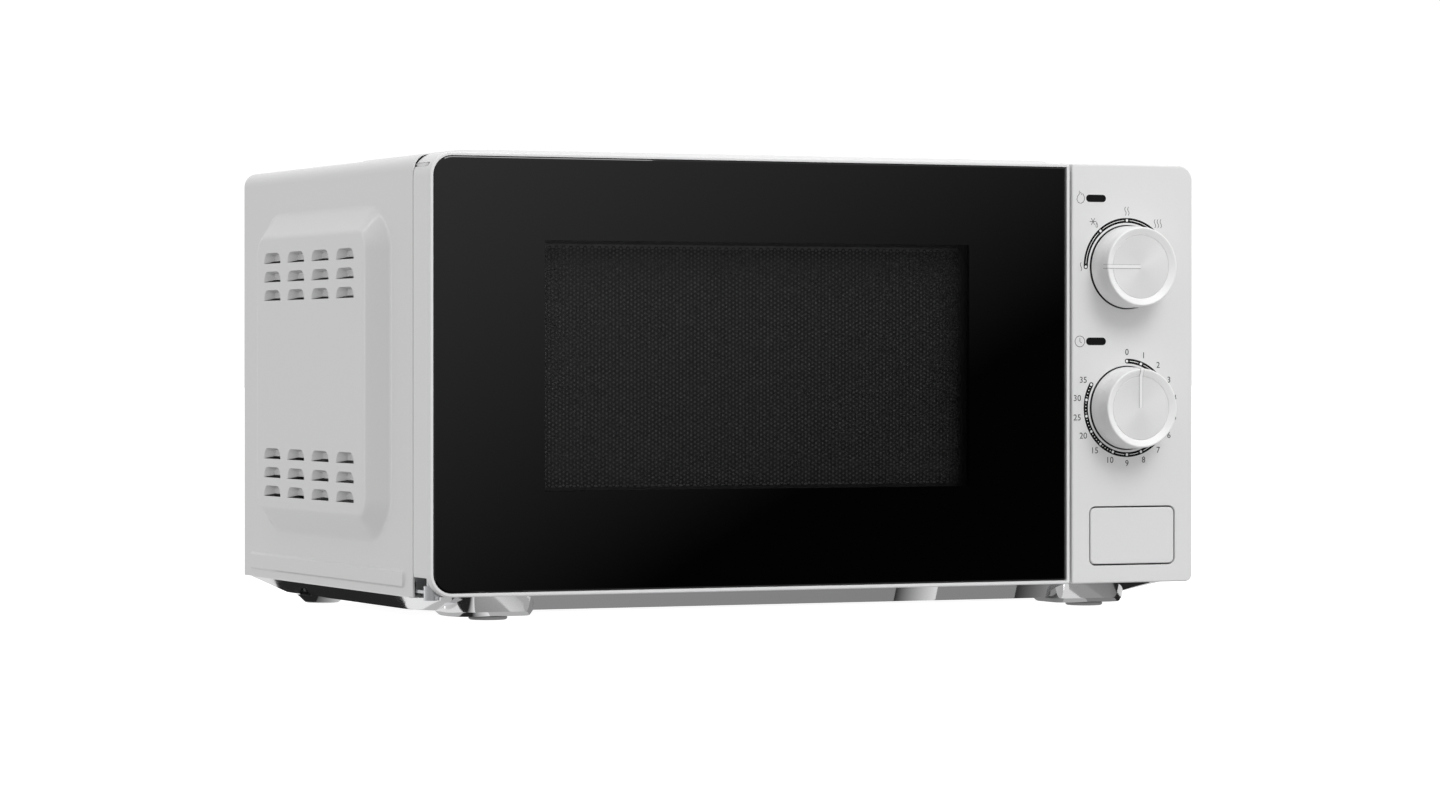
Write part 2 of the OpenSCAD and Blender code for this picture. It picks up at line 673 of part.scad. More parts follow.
module roller_ring() color("ivory") {
    translate([turn_x, turn_y, axle_z - ring_t / 2]) difference() {
        cylinder(h = ring_t, r = ring_r + ring_w / 2, $fn = 128);
        translate([0, 0, -1]) cylinder(h = ring_t + 2, r = ring_r - ring_w / 2, $fn = 128);
    }
    for (i = [0:2]) translate([turn_x, turn_y, axle_z]) rotate(90 + 120 * i) {
        translate([ring_r, 0, 0]) rotate([0, 90, 0]) cylinder(h = roller_x - ring_r + roller_w / 2
            + 2, r = axle_r);
        translate([roller_x + roller_w / 2 + 0.6, 0, 0]) rotate([0, 90, 0]) cylinder(h = 1.6,
            r = axle_r + 1);
    }
}

module roller(i) color("white") translate([turn_x, turn_y, axle_z]) rotate(90 + 120 * i)
    translate([roller_x - roller_w / 2, 0, 0]) rotate([0, 90, 0]) difference() {
        cylinder(h = roller_w, r = roller_r);
        translate([0, 0, -1]) cylinder(h = roller_w + 2, r = axle_r + run_fit);
    }

module roller_1() roller(0);
module roller_2() roller(1);
module roller_3() roller(2);

module glass_tray() color([0.85, 0.93, 0.93, 0.5]) {
    translate([turn_x, turn_y, tray_z]) rotate_extrude($fn = 128) polygon([
        [0, 0], [tray_r - 14, 0], [tray_r, tray_rim - 1], [tray_r, tray_rim], [tray_r - 3.5, tray_rim],
        [tray_r - 15.5, tray_t], [0, tray_t]]);
    lug = tray_z - cav_z0 - coupler_up - coupler_t + 3.4;
    for (i = [0:2]) translate([turn_x, turn_y, tray_z]) rotate(60 + 120 * i) translate([coupler_r -
        6, 0, -lug])
        cylinder(h = lug + eps, r = 2.4);
}

// ---- control panel, dials and button

module control_panel() color("white") {
    difference() {
        upright(panel_x, front_y, front_y + front_d, door_z) panel2d(panel_w, door_h, panel_r);
        upright(panel_x + wall, front_y + wall, front_y + front_d + 1, door_z + wall)
            panel2d(panel_w - 2 * wall, door_h - 2 * wall, [0.1, 2, 5, 0.1]);
        for (z = [timer_zc, power_zc]) along_y(dial_x, front_y - 1, z) cylinder(h = wall + 2,
            r = shaft_r + 1);
        upright(button_x - button_w / 2 - button_play, front_y - 1, front_y + wall + 1,
            button_z - button_h / 2 - button_play) panel2d(button_w + 2 * button_play,
            button_h + 2 * button_play, [1, 1, 1, 1] * (button_r + button_play));
    }
    for (s = [-1, 1], z = [timer_zc - 31, power_zc + 24]) along_y(dial_x + s * 24, front_y + wall - eps, z)
        cylinder(h = stand_h, r = 3);
    for (s = [-1, 1]) block(button_x + s * (button_w / 2 - 6) - 1, button_x + s * (button_w / 2 - 6) + 1,
        front_y + 21, front_y + 23, door_z + wall - eps, door_z + wall + 4);
    block(button_x - 20, button_x + 20, front_y + 21, front_y + 23, button_z - 22,
        button_z - button_h / 2 + 2);
    block(button_x + 6, button_x + 18, front_y + 21, front_y + 23, button_z - button_h / 2, button_z + 8);
}

stand_h = 5.6;                    // pillars that carry the timer and power unit
unit_y = front_y + wall + stand_h;
unit_d = 34;

module timer_unit() color("silver") {
    difference() {
        union() {
            block(dial_x - 29, dial_x + 29, unit_y, unit_y + 1.2, timer_zc - 35, power_zc + 28);
            block(dial_x - 26, dial_x + 26, unit_y + 1.2 - eps, unit_y + unit_d, timer_zc - 27,
                power_zc + 21);
        }
        for (z = [timer_zc, power_zc]) along_y(dial_x, unit_y - 1, z) cylinder(h = 17,
            r = shaft_r + run_fit);
    }
    along_y(dial_x, unit_y + unit_d - eps, timer_zc) cylinder(h = 15, r = 23);
}

module timer_bell() color("goldenrod") {
    y0 = unit_y + unit_d;
    along_y(dial_x, y0 + 2, power_zc - 22) difference() {
        cylinder(h = 10, r = 19);
        translate([0, 0, -1]) cylinder(h = 10, r = 18);
    }
    along_y(dial_x, y0, power_zc - 22) cylinder(h = 11.1, r = 2.5);
}

module dial_shaft(z) along_y(dial_x, front_y - dial_out + 5, z) cylinder(h = dial_out + wall + 12,
    r = shaft_r);
module timer_shaft() color("silver") dial_shaft(timer_zc);
module power_shaft() color("silver") dial_shaft(power_zc);

// Hollow knob: a hub on the shaft, a round skirt and a dished front that holds the cap.
module knob(z) along_y(dial_x, front_y - dial_out, z) rotate_extrude($fn = 96) polygon([
    [shaft_r, 4.9], [shaft_r, dial_out - 1.2], [shaft_r + 2.6, dial_out - 1.2], [shaft_r + 2.6, 6],
    [dial_r - 3.2, 6], [dial_r - 2, dial_out - dial_gap_y], [dial_r, dial_out - dial_gap_y],
    [dial_r - 0.3, 6], [dial_r - 0.9, 0.6], [dial_r - 1.5, 0], [dial_r - 1.9, 0], [cap_r + 0.05, 2],
    [cap_r + 0.05, 3.6], [0, 3.6], [0, 4.9]]);

module timer_knob() color("white") knob(timer_zc);
module power_knob() color("white") knob(power_zc);

module dial_cap(z) along_y(dial_x, front_y - dial_out, z) translate([0, 0, 1.6]) cylinder(h = 1.95,
    r = cap_r);
module timer_cap() color("silver") dial_cap(timer_zc);
module power_cap() color("silver") dial_cap(power_zc);

module release_button() color("white") {
    x = button_x - button_w / 2;
    z = button_z - button_h / 2;
    r = [1, 1, 1, 1] * button_r;
    difference() {
        upright(x, front_y, front_y + button_t, z) panel2d(button_w, button_h, r);
        upright(x + wall, front_y + wall, front_y + button_t + 1, z + wall)
            panel2d(button_w - 2 * wall, button_h - 2 * wall, [1, 1, 1, 1]);
    }
    tip_y = lever_y - 1.4;
    along_y(stem_x, front_y + wall - eps, stem_z) cylinder(h = tip_y - stem_r / 2 - front_y - wall,
        r = stem_r);
    along_y(stem_x, tip_y - stem_r / 2 - 2 * eps, stem_z) cylinder(h = stem_r / 2, r1 = stem_r,
        r2 = stem_r / 2);
}

spring_x = button_x + 12;

module button_spring() color("darkgray")
    along_y(spring_x, front_y + wall + 0.9, button_z) coil(4, 0.45, 5, 23 - 4 - wall);

module release_lever() color("white") {
    x0 = hook_x - 4;
    x1 = stem_x + 5;
    along_x(x0, lever_y, lever_z) cylinder(h = x1 - x0, r = lever_r);
    block(stem_x - 5, stem_x + 5, lever_y - 1, lever_y + 1.5, stem_z - 5, lever_z);
    block(hook_x - 3, hook_x + 3, lever_y, lift_y + 1, lever_z - 1.5, lever_z + 1.5);
    top = hook_z[0] - hook_h / 2 - hook_nose - play - 0.2;
    block(hook_x - 3, hook_x + 3, lift_y - 2, lift_y + 1, lever_z, top);
    for (x = [x0 - 5, x1 - eps]) along_x(x, lever_y, lever_z) cylinder(h = 5 + eps, r = pivot_r);
}

// ---- door latch

house_x = hook_x + hook_w / 2 + 5;

module latch_housing() color("whitesmoke") {
    y0 = cab_y + frame_t + 0.1;
    block(house_x, house_x + wall, y0, y0 + 36, hook_z[0] - 8, hook_z[1] + 22);
    for (z = [hook_z[0] + 14, hook_z[1] + 14]) block(hook_x - 8, house_x + wall, y0, y0 + wall, z, z + 10);
    // keepers under the hooks' noses
    for (z = hook_z) block(hook_x - hook_w / 2 - 2, house_x + eps, keep_y, keep_y + 5.6,
        z - hook_h / 2 - hook_nose - 3.1, z - hook_h / 2 - hook_nose - 0.5);
    // ears that carry the release lever's pivot
    for (x = [hook_x - 8.6, stem_x + 5.6]) difference() {
        block(x, x + 2.4, y0, y0 + 14, lever_z - 6, lever_z + 6);
        along_x(x - 1, lever_y, lever_z) cylinder(h = 5, r = pivot_r + run_fit);
    }
    block(hook_x - 8.6, stem_x + 8, y0, y0 + 1, lever_z + 4, lever_z + 6);
    block(house_x, house_x + wall, y0, y0 + 1, lever_z + 4, hook_z[0]);
}

switch_y = cab_y + hook_len + 4;

module interlock_switches() color([0.12, 0.12, 0.12]) for (z = [hook_z[0] - 2,
    hook_z[1] - 2]) difference() {
    block(hook_x - 5, house_x - 0.05, switch_y, switch_y + 16, z - 14, z + 14);
    block(hook_x - 1.6, hook_x + 1.6, switch_y - 1, switch_y + 5, z - 1.6, z + 1.6);
}

module switch_plungers() color("firebrick") for (z = [hook_z[0] - 2, hook_z[1] - 2])
    block(hook_x - 1.5, hook_x + 1.5, lift_y + 0.5, switch_y + 3, z - 1.5, z + 1.5);

// ---- hinges

plate_y = cab_y + frame_t + 0.05;
plate_w = 24;
plate_t = 1.6;

module lower_hinge() color("gainsboro") {
    z = door_z;
    block(xl + 2.2, xl + plate_w, plate_y, plate_y + plate_t, z + plate_t, z + 30);
    block(xl + 1.6, xl + 11, axis_y, plate_y + eps, z + plate_t, z + 2 * plate_t);
    translate([axis_x, axis_y, z - 1.8]) cylinder(h = 7.3, r = 4);
    translate([axis_x, axis_y, z]) cylinder(h = 18, r = pin_r);
}

module upper_hinge() color("gainsboro") {
    z = upper_z + 1;
    block(xl + 2.2, xl + plate_w, plate_y, plate_y + plate_t, z - 26, z + plate_t);
    block(xl + 2.1, xl + 11, axis_y, plate_y + eps, z, z + plate_t);
    translate([axis_x, axis_y, z]) cylinder(h = plate_t, r = min(3.4, hinge_x - 1.6));
    translate([axis_x, axis_y, z - 12]) cylinder(h = 13, r = pin_r);
}

module chassis_screws() color("dimgray") {
    for (z = [door_z + 14, door_z + 24, upper_z - 20, upper_z - 10]) along_y(xl + 18,
        cab_y + frame_t + 1.7, z)
        cylinder(h = 2.4, r = 3);
    for (x = [trafo_x - 5, trafo_x + trafo_w + 5], y = [trafo_y + 12, trafo_y + trafo_d - 12])
        translate([x, y, pan_floor + 0.05]) cylinder(h = 3, r = 3.4);
    for (x = [-1, 1], y = [-1, 1]) translate([mag_x + x * 30, mag_y + y * 38, wave_z + 0.85])
        cylinder(h = 3, r = 3);
    for (s = [-1, 1]) translate([turn_x + s * 29, turn_y, cav_z0 - sheet - 3.2]) cylinder(h = 2.1, r = 2.6);
}

// ---- door

glass_in = bezel_w;

module door_outline(grow) translate([-grow, -grow]) panel2d(door_w + 2 * grow, door_h + 2 * grow,
    [door_r + grow, 1.5, 1.5, door_r + grow]);

module door_pane(grow) translate([glass_in - grow, glass_in - grow])
    panel2d(door_w - 2 * glass_in - 0.6 + 2 * grow, door_h - 2 * glass_in + 2 * grow,
        [door_r - 1.5 + grow, 0.8, 0.8, door_r - 1.5 + grow]);

module hinge_room(z0, z1) {
    block(xl - 1, xl + notch_x, axis_y - 6, front_y + front_d + 1, z0, z1);
}

module door_frame() color("gainsboro") difference() {
    union() {
        difference() {
            upright(xl, front_y, front_y + front_d, door_z) door_outline(0);
            upright(xl, front_y - 1, front_y + glass_t + 0.5, door_z) door_pane(0.1);
            upright(xl, front_y - 1, front_y + front_d + 1, door_z) translate([glass_in + 9, glass_in + 9])
                panel2d(door_w - 2 * glass_in - 18, door_h - 2 * glass_in - 18, [4, 4, 4, 4]);
            upright(xl, front_y + glass_t + 2.5, front_y + front_d - 1.8, door_z) translate([wall, wall])
                panel2d(door_w - 2 * wall, door_h - 2 * wall, [8, 1, 1, 8]);
            block(screen_x0 - 1, screen_x1 + 1, front_y + front_d - 3, front_y + front_d + 1,
                screen_z0 - 1, screen_z1 + 1);
        }
        for (z = [[door_z, door_z + 22], [upper_z - 14, door_z + door_h - 1]])
            block(xl + 0.6, xl + notch_x - 1, front_y + 5, front_y + front_d - 0.2, z[0] + 0.6, z[1]);
    }
    hinge_room(door_z - 1, door_z + notch_h);
    hinge_room(upper_z + 0.8, upper_z + 2.8);
    for (z = [door_z, upper_z - 14]) translate([axis_x, axis_y, z - 2]) cylinder(h = 20.5,
        r = pin_r + run_fit);
    difference() {
        block(xl - 1, xl + 1.5, front_y + front_d - 1.5, front_y + front_d + 1, door_z - 1,
            door_z + door_h + 1);
        translate([xl + 1.5, front_y + front_d - 1.5, door_z - 2]) cylinder(h = door_h + 4, r = 1.5);
    }
    for (z = hook_z) block(hook_x - hook_w / 2 - 1, hook_x + hook_w / 2 + 1, front_y + front_d - 3,
        front_y + front_d + 1, z - hook_h / 2 - 1, z + hook_h / 2 + hook_lift + 1);
}

module door_glass() color([0.04, 0.04, 0.05]) upright(xl, front_y + 0.3, front_y + glass_t + 0.3, door_z)
    door_pane(0);

module door_screen() color("dimgray") difference() {
    block(screen_x0, screen_x1, screen_y, front_y + 20, screen_z0, screen_z1);
    block(screen_x0 + sheet, screen_x1 - sheet, screen_y + sheet, front_y + 21, screen_z0 + sheet,
        screen_z1 - sheet);
}

module inner_window() color([0.6, 0.65, 0.65, 0.4])
    block(screen_x0 + 0.2, screen_x1 - 0.2, front_y + 20.05, front_y + 21.2, screen_z0 + 0.2,
        screen_z1 - 0.2);

module choke_cover() color("gainsboro") difference() {
    upright(screen_x0, front_y + 21.25, front_y + front_d - 0.1, screen_z0)
        panel2d(screen_x1 - screen_x0, screen_z1 - screen_z0, [3, 3, 3, 3]);
    upright(screen_x0 + 24, front_y + 20, front_y + front_d + 1, screen_z0 + 24)
        panel2d(screen_x1 - screen_x0 - 48, screen_z1 - screen_z0 - 48, [6, 6, 6, 6]);
}

module latch_hooks() color("white") {
    x0 = hook_x - hook_w / 2;
    x1 = hook_x + hook_w / 2;
    block(x0, x1, bar_y, bar_y + 4, hook_z[0] - 6, hook_z[1] + 6);
    for (z = hook_z) {
        block(x0, x1, bar_y, lift_y, z - hook_h / 2, z + hook_h / 2);
        block(x0, x1, lift_y - 4, lift_y, z - hook_h / 2 - hook_nose, z);
    }
}

module latch_spring() color("darkgray")
    translate([hook_x, bar_y + 2, hook_z[1] + 6.6]) coil(2.4, 0.3, 6, 16);

// ---- assembly

outer_cover();
base_pan();
front_feet();
back_panel();
casing_screws();
front_frame();
cavity();
waveguide();
feed_cover();
magnetron_yoke();
magnetron_fins();
magnetron_antenna();
magnetron_filter();
transformer_core();
transformer_windings();
hv_capacitor();
capacitor_clamp();
hv_diode();
fan_shroud();
fan_motor();
fan_blade();
air_duct();
oven_lamp();
lamp_holder();
turntable_motor();
turntable_coupler();
roller_ring();
roller_1();
roller_2();
roller_3();
glass_tray();
thermal_cutouts();
filter_board();
cord_grommet();
chassis_screws();
control_panel();
timer_unit();
timer_bell();
timer_shaft();
timer_knob();
timer_cap();
power_shaft();
power_knob();
power_cap();
release_button();
button_spring();
release_lever();
latch_housing();
interlock_switches();
switch_plungers();
lower_hinge();
upper_hinge();
door_frame();
door_glass();
door_screen();
inner_window();
choke_cover();
latch_hooks();
latch_spring();
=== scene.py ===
from math import atan2, cos, hypot, pi, radians, sin, sqrt

import bmesh
import bpy
from mathutils.geometry import delaunay_2d_cdt
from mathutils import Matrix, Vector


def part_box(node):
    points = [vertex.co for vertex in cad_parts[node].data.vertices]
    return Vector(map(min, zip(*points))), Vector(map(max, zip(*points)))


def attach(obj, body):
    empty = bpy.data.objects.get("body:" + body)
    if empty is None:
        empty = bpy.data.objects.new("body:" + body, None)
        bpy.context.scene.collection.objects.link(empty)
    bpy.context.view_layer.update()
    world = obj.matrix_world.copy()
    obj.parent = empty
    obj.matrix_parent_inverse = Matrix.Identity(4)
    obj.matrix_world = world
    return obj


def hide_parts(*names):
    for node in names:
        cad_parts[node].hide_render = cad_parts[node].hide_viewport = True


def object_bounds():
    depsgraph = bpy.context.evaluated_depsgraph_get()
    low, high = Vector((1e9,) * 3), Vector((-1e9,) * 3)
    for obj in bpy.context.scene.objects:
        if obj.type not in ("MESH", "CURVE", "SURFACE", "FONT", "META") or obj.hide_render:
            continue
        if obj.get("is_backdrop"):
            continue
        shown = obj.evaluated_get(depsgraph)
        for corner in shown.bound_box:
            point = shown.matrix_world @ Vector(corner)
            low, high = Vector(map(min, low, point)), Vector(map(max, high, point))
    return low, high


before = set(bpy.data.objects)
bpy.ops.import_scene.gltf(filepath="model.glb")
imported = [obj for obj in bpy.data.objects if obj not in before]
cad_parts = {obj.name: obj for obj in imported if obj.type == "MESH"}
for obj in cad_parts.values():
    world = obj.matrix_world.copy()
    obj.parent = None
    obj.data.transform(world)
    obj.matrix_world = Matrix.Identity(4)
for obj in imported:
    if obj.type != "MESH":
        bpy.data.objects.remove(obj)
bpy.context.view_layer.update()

# ---------------------------------------------------------------- studio
# A white photographer's room: a pale floor, an even sky that is dimmer on the hinge side, and a long
# lens standing front left at the height of the oven's middle.

MM = 0.001
scene = bpy.context.scene
scene.view_settings.view_transform = "Standard"

camera_data = bpy.data.cameras.new("camera")
camera_data.lens = 115.35
camera_data.sensor_width = 36
camera_data.shift_y = -0.0298
camera = bpy.data.objects.new("camera", camera_data)
camera.location = (-1.0349, -2.3158, 0.1325)
camera.rotation_euler = (radians(90), 0, radians(-24.126))
scene.collection.objects.link(camera)
scene.camera = camera


def link(tree, *steps):
    """Joins sockets in pairs: (from node, output) to (to node, input)."""
    for source, target in steps:
        tree.links.new(source[0].outputs[source[1]], target[0].inputs[target[1]])


sky = bpy.data.worlds.new("sky")
sky.use_nodes = True
scene.world = sky
nodes = sky.node_tree.nodes
direction = nodes.new("ShaderNodeTexCoord")
sideways = nodes.new("ShaderNodeVectorMath")
sideways.operation = "DOT_PRODUCT"
sideways.inputs[1].default_value = (0.08, 0.12, 0.18)
level = nodes.new("ShaderNodeMath")
level.inputs[1].default_value = 0.69
backdrop = nodes.new("ShaderNodeBackground")
ray = nodes.new("ShaderNodeLightPath")
either = nodes.new("ShaderNodeMixShader")
link(sky.node_tree, ((direction, "Generated"), (sideways, 0)), ((sideways, "Value"), (level, 0)),
     ((level, 0), (nodes["Background"], "Strength")), ((ray, "Is Camera Ray"), (either, 0)),
     ((nodes["Background"], 0), (either, 1)), ((backdrop, 0), (either, 2)),
     ((either, 0), (nodes["World Output"], "Surface")))
backdrop.inputs["Strength"].default_value = 1.05
for glow in (nodes["Background"], backdrop):
    glow.inputs["Color"].default_value = (1, 1, 1, 1)


def lamp(name, where, aim, size, power):
    """A square soft box at `where`, turned to face `aim`, all in metres."""
    data = bpy.data.lights.new(name, "AREA")
    data.size, data.energy = size, power
    box = bpy.data.objects.new(name, data)
    box.location = where
    toward = [a - w for a, w in zip(aim, where)]
    box.rotation_euler = (atan2(hypot(toward[0], toward[1]), -toward[2]), 0, atan2(-toward[0], toward[1]))
    scene.collection.objects.link(box)


lamp("key", (0.35, -1.7, 1.7), (0, 0, 0.12), 1.0, 20)
lamp("top", (-0.2, 0.3, 2.2), (0, 0, 0.2), 1.6, 2)


def surface(name, points, faces, material):
    """A mesh object from points in millimetres."""
    mesh = bpy.data.meshes.new(name)
    mesh.from_pydata([[v * MM for v in p] for p in points], [], faces)
    mesh.materials.append(material)
    made = bpy.data.objects.new(name, mesh)
    scene.collection.objects.link(made)
    return made


floor_paint = bpy.data.materials.new("floor_paint")
floor_paint.use_nodes = True
floor_shader = floor_paint.node_tree.nodes["Principled BSDF"]
floor_shader.inputs["Base Color"].default_value = (0.5, 0.5, 0.5, 1)
floor_shader.inputs["Roughness"].default_value = 1
floor_shader.inputs["Specular IOR Level"].default_value = 0
floor_shader.inputs["Emission Color"].default_value = (1, 1, 1, 1)
floor_shader.inputs["Emission Strength"].default_value = 0.97
far = 20000
floor = surface("floor", [(-far, -far, -0.05), (far, -far, -0.05), (far, far, -0.05), (-far, far, -0.05)],
                [(0, 1, 2, 3)], floor_paint)
floor.visible_diffuse = floor.visible_glossy = False
floor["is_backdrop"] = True


def card(name, corners, glow_at_corner, rise):
    """A board seen only in gloss: it glows by `glow_at_corner`, changing by `rise` across its own box."""
    glow = bpy.data.materials.new(name)
    glow.use_nodes = True
    tree = glow.node_tree
    tree.nodes.remove(tree.nodes["Principled BSDF"])
    place = tree.nodes.new("ShaderNodeTexCoord")
    along = tree.nodes.new("ShaderNodeVectorMath")
    along.operation = "DOT_PRODUCT"
    along.inputs[1].default_value = rise
    total = tree.nodes.new("ShaderNodeMath")
    total.inputs[1].default_value = glow_at_corner
    no_less = tree.nodes.new("ShaderNodeMath")
    no_less.operation = "MAXIMUM"
    no_less.inputs[1].default_value = 0
    light = tree.nodes.new("ShaderNodeEmission")
    link(tree, ((place, "Generated"), (along, 0)), ((along, "Value"), (total, 0)), ((total, 0), (no_less, 0)),
         ((no_less, 0), (light, "Strength")), ((light, 0), (tree.nodes["Material Output"], 0)))
    board = surface(name, corners, [(0, 1, 2, 3)], glow)
    board.visible_camera = board.visible_diffuse = board.visible_shadow = False
    board.visible_transmission = False
    board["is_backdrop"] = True


card("dusk_card", [(-190, -520, -30), (430, -520, -30), (430, -520, 330), (-190, -520, 330)], 0.24,
     (-0.7, 0, 0.697))
for name, low_z, high_z, tone in (("low_strip", -260, -40, 2.6), ("high_strip", 340, 560, 1.6)):
    card(name, [(40, -540, low_z), (620, -540, low_z), (620, -540, high_z), (40, -540, high_z)], tone,
         (0, 0, 0))


def ground(name, x0, x1, y0, y1, tone, rise=0.0):
    """A board lying just above the floor, seen only in the tray's gloss, brighter by `rise` toward +X."""
    low = 0.5
    card(name, [(x0, y0, low), (x1, y0, low), (x1, y1, low), (x0, y1, low)], tone, (rise, 0, 0))


ground("tray_shade", -222, 215, -58, 78, 0.02)
ground("rear_shade", -222, -203, 78, 150, 0.02)
ground("foot_glow", -203, -176, 78, 112, 0.1, 1.0)
# boards from left to right, each as (left, right, glow, rise): under the tray's front wall, and ahead of it
# for the front faces of the bosses
tray_bands = [(-216, -199, 0.85, 0), (-199, -193, 0.5, 0), (-193, -186, 0.02, 0), (-186, -176, 0.05, 0.9),
              (-176, -151, 0.5, 0), (-151, 61, 0.3, -0.04), (61, 86, 0.02, 0.8), (86, 134, 0.27, 0),
              (134, 156, 0.03, 0.25), (156, 172, 0.45, 0), (172, 193, 0.25, 0), (193, 216, 0.02, 0)]
boss_bands = [(-300, -193, 0.02, 0), (-193, -183, 0.05, 0.9), (-183, -162, 0.3, 0.1),
              (-162, -150, 0.75, -0.2), (-150, -120, 0.45, 0), (150, 172, 0.8, 0), (172, 186, 0.35, 0),
              (186, 214, 0.28, -0.1), (214, 320, 0.02, 0)]
for label, bands, y0, y1 in (("tray_card", tray_bands, -118, -58), ("boss_card", boss_bands, -190, -118)):
    for number, (x0, x1, tone, rise) in enumerate(bands):
        ground(f"{label}_{number}", x0, x1, y0, y1, tone, rise)
card("side_strip", [(-1150, 1120, -400), (-1070, 1220, -400), (-1070, 1220, 1500), (-1150, 1120, 1500)], 3,
     (0, 0, 0))

# ---------------------------------------------------------------- base tray
# One pressed tray of bright plated steel: sloping walls, two bosses over the front feet and two round
# rear feet drawn from the same sheet. The cabinet's cover is screwed to its lip.


def finish(name, colour, rough, metal=0.0, grain=1.0, relief=0.01, shade=0.04, wander=0.15,
           stretch=(1, 1, 1)):
    """A surface with its own grain, in millimetres: tone, gloss and height follow one fine noise."""
    made = bpy.data.materials.new(name)
    made.use_nodes = True
    tree = made.node_tree
    shader = tree.nodes["Principled BSDF"]
    shader.inputs["Metallic"].default_value = metal
    place = tree.nodes.new("ShaderNodeTexCoord")
    spread = tree.nodes.new("ShaderNodeMapping")
    spread.inputs["Scale"].default_value = stretch
    noise = tree.nodes.new("ShaderNodeTexNoise")
    noise.inputs["Scale"].default_value = 1 / (grain * MM)
    noise.inputs["Detail"].default_value = 3
    tone = tree.nodes.new("ShaderNodeValToRGB")
    tone.color_ramp.elements[0].position, tone.color_ramp.elements[1].position = 0.3, 0.7
    tone.color_ramp.elements[0].color = (*[c * (1 - shade) for c in colour], 1)
    tone.color_ramp.elements[1].color = (*[min(c * (1 + shade), 1) for c in colour], 1)
    gloss = tree.nodes.new("ShaderNodeMapRange")
    gloss.inputs["To Min"].default_value = rough * (1 - wander)
    gloss.inputs["To Max"].default_value = min(rough * (1 + wander), 1)
    bump = tree.nodes.new("ShaderNodeBump")
    bump.inputs["Distance"].default_value = relief * MM
    link(tree, ((place, "Object"), (spread, "Vector")), ((spread, "Vector"), (noise, "Vector")),
         ((noise, "Fac"), (tone, 0)), ((tone, "Color"), (shader, "Base Color")),
         ((noise, "Fac"), (gloss, "Value")), ((gloss, "Result"), (shader, "Roughness")),
         ((noise, "Fac"), (bump, "Height")), ((bump, "Normal"), (shader, "Normal")))
    return made


def wear(material, *names):
    """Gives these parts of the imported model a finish."""
    for name in names:
        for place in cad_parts[name].material_slots:
            place.material = material


bright_steel = finish("bright_steel", (0.8, 0.8, 0.81), 0.1, 1.0, grain=0.5, relief=0.001, stretch=(1, 6, 1))


class Sheet:
    """Points and faces gathered for one mesh, in millimetres."""

    def __init__(self):
        self.points, self.faces = [], []

    def loft(self, rings, closed=True):
        """Skins rings of equally many points, in order."""
        start, count = len(self.points), len(rings[0])
        for ring in rings:
            self.points += ring
        for r in range(len(rings) - 1):
            for i in range(count if closed else count - 1):
                a, b = start + r * count, start + (r + 1) * count
                j = (i + 1) % count
                self.faces.append((a + i, a + j, b + j, b + i))

    def fill(self, outline, holes, place):
        """Covers a flat outline around its holes; `place` carries a flat point into space."""
        loops = [outline, *holes]
        flat = [p for loop in loops for p in loop]
        edges, start = [], 0
        for loop in loops:
            edges += [(start + i, start + (i + 1) % len(loop)) for i in range(len(loop))]
            start += len(loop)
        made = delaunay_2d_cdt(flat, edges, [], 0, 1e-5)
        first = len(self.points)
        self.points += [place(p[0], p[1]) for p in made[0]]
        for face in made[2]:
            u = sum(made[0][i][0] for i in face) / len(face)
            v = sum(made[0][i][1] for i in face) / len(face)
            if inside(u, v, outline) and not any(inside(u, v, hole) for hole in holes):
                self.faces.append(tuple(first + i for i in face))

    def lathe(self, profile, place, steps=96):
        """Turns (radius, height) points about an axis; `place` carries (across, up, height) into space."""
        turns = [2 * pi * i / steps for i in range(steps)]
        for r0, r1 in zip(profile, profile[1:]):
            self.loft([[place(r * cos(a), r * sin(a), h) for a in turns] for r, h in (r0, r1)])

    def piece(self, name, material, body, slot, *stands_for, sharp=35, thick=0):
        """Welds the points, turns the faces outward and hangs the mesh on its body."""
        made = surface(name, self.points, self.faces, material)
        work = bmesh.new()
        work.from_mesh(made.data)
        bmesh.ops.remove_doubles(work, verts=work.verts, dist=1e-3 * MM)
        bmesh.ops.dissolve_degenerate(work, edges=work.edges, dist=1e-4 * MM)
        bmesh.ops.recalc_face_normals(work, faces=work.faces)
        top = max(work.faces, key=lambda f: f.calc_center_median().z + 1e-3 * abs(f.normal.z))
        if top.normal.z < 0:
            bmesh.ops.reverse_faces(work, faces=work.faces)
        work.to_mesh(made.data)
        work.free()
        made.data.shade_smooth()
        made.data.set_sharp_from_angle(angle=radians(sharp))
        if thick:
            skin = made.modifiers.new("thickness", "SOLIDIFY")
            skin.thickness, skin.offset = thick * MM, -1
        even = made.modifiers.new("even_shading", "WEIGHTED_NORMAL")
        even.keep_sharp = True
        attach(made, body)
        if stands_for:
            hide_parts(*stands_for)
        return made


def inside(u, v, loop):
    """Whether a flat point lies in a loop."""
    odd = False
    for (u0, v0), (u1, v1) in zip(loop, loop[1:] + loop[:1]):
        if (v0 > v) != (v1 > v) and u < u0 + (v - v0) * (u1 - u0) / (v1 - v0):
            odd = not odd
    return odd


def span(node):
    """A node's two corners in millimetres."""
    low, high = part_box(node)
    return [v / MM for v in low], [v / MM for v in high]


def rounded(u0, v0, u1, v1, radii, steps=8):
    """A rectangle with its own radius at each corner: low low, high low, high high, low high."""
    loop = []
    corners = [(u0, v0, 1, 1, pi), (u1, v0, -1, 1, 1.5 * pi), (u1, v1, -1, -1, 0), (u0, v1, 1, -1, 0.5 * pi)]
    for (u, v, su, sv, turn), r in zip(corners, radii):
        r = max(r, 0.05)
        for i in range(steps + 1):
            angle = turn + 0.5 * pi * i / steps
            loop.append((u + su * r + r * cos(angle), v + sv * r + r * sin(angle)))
    return loop


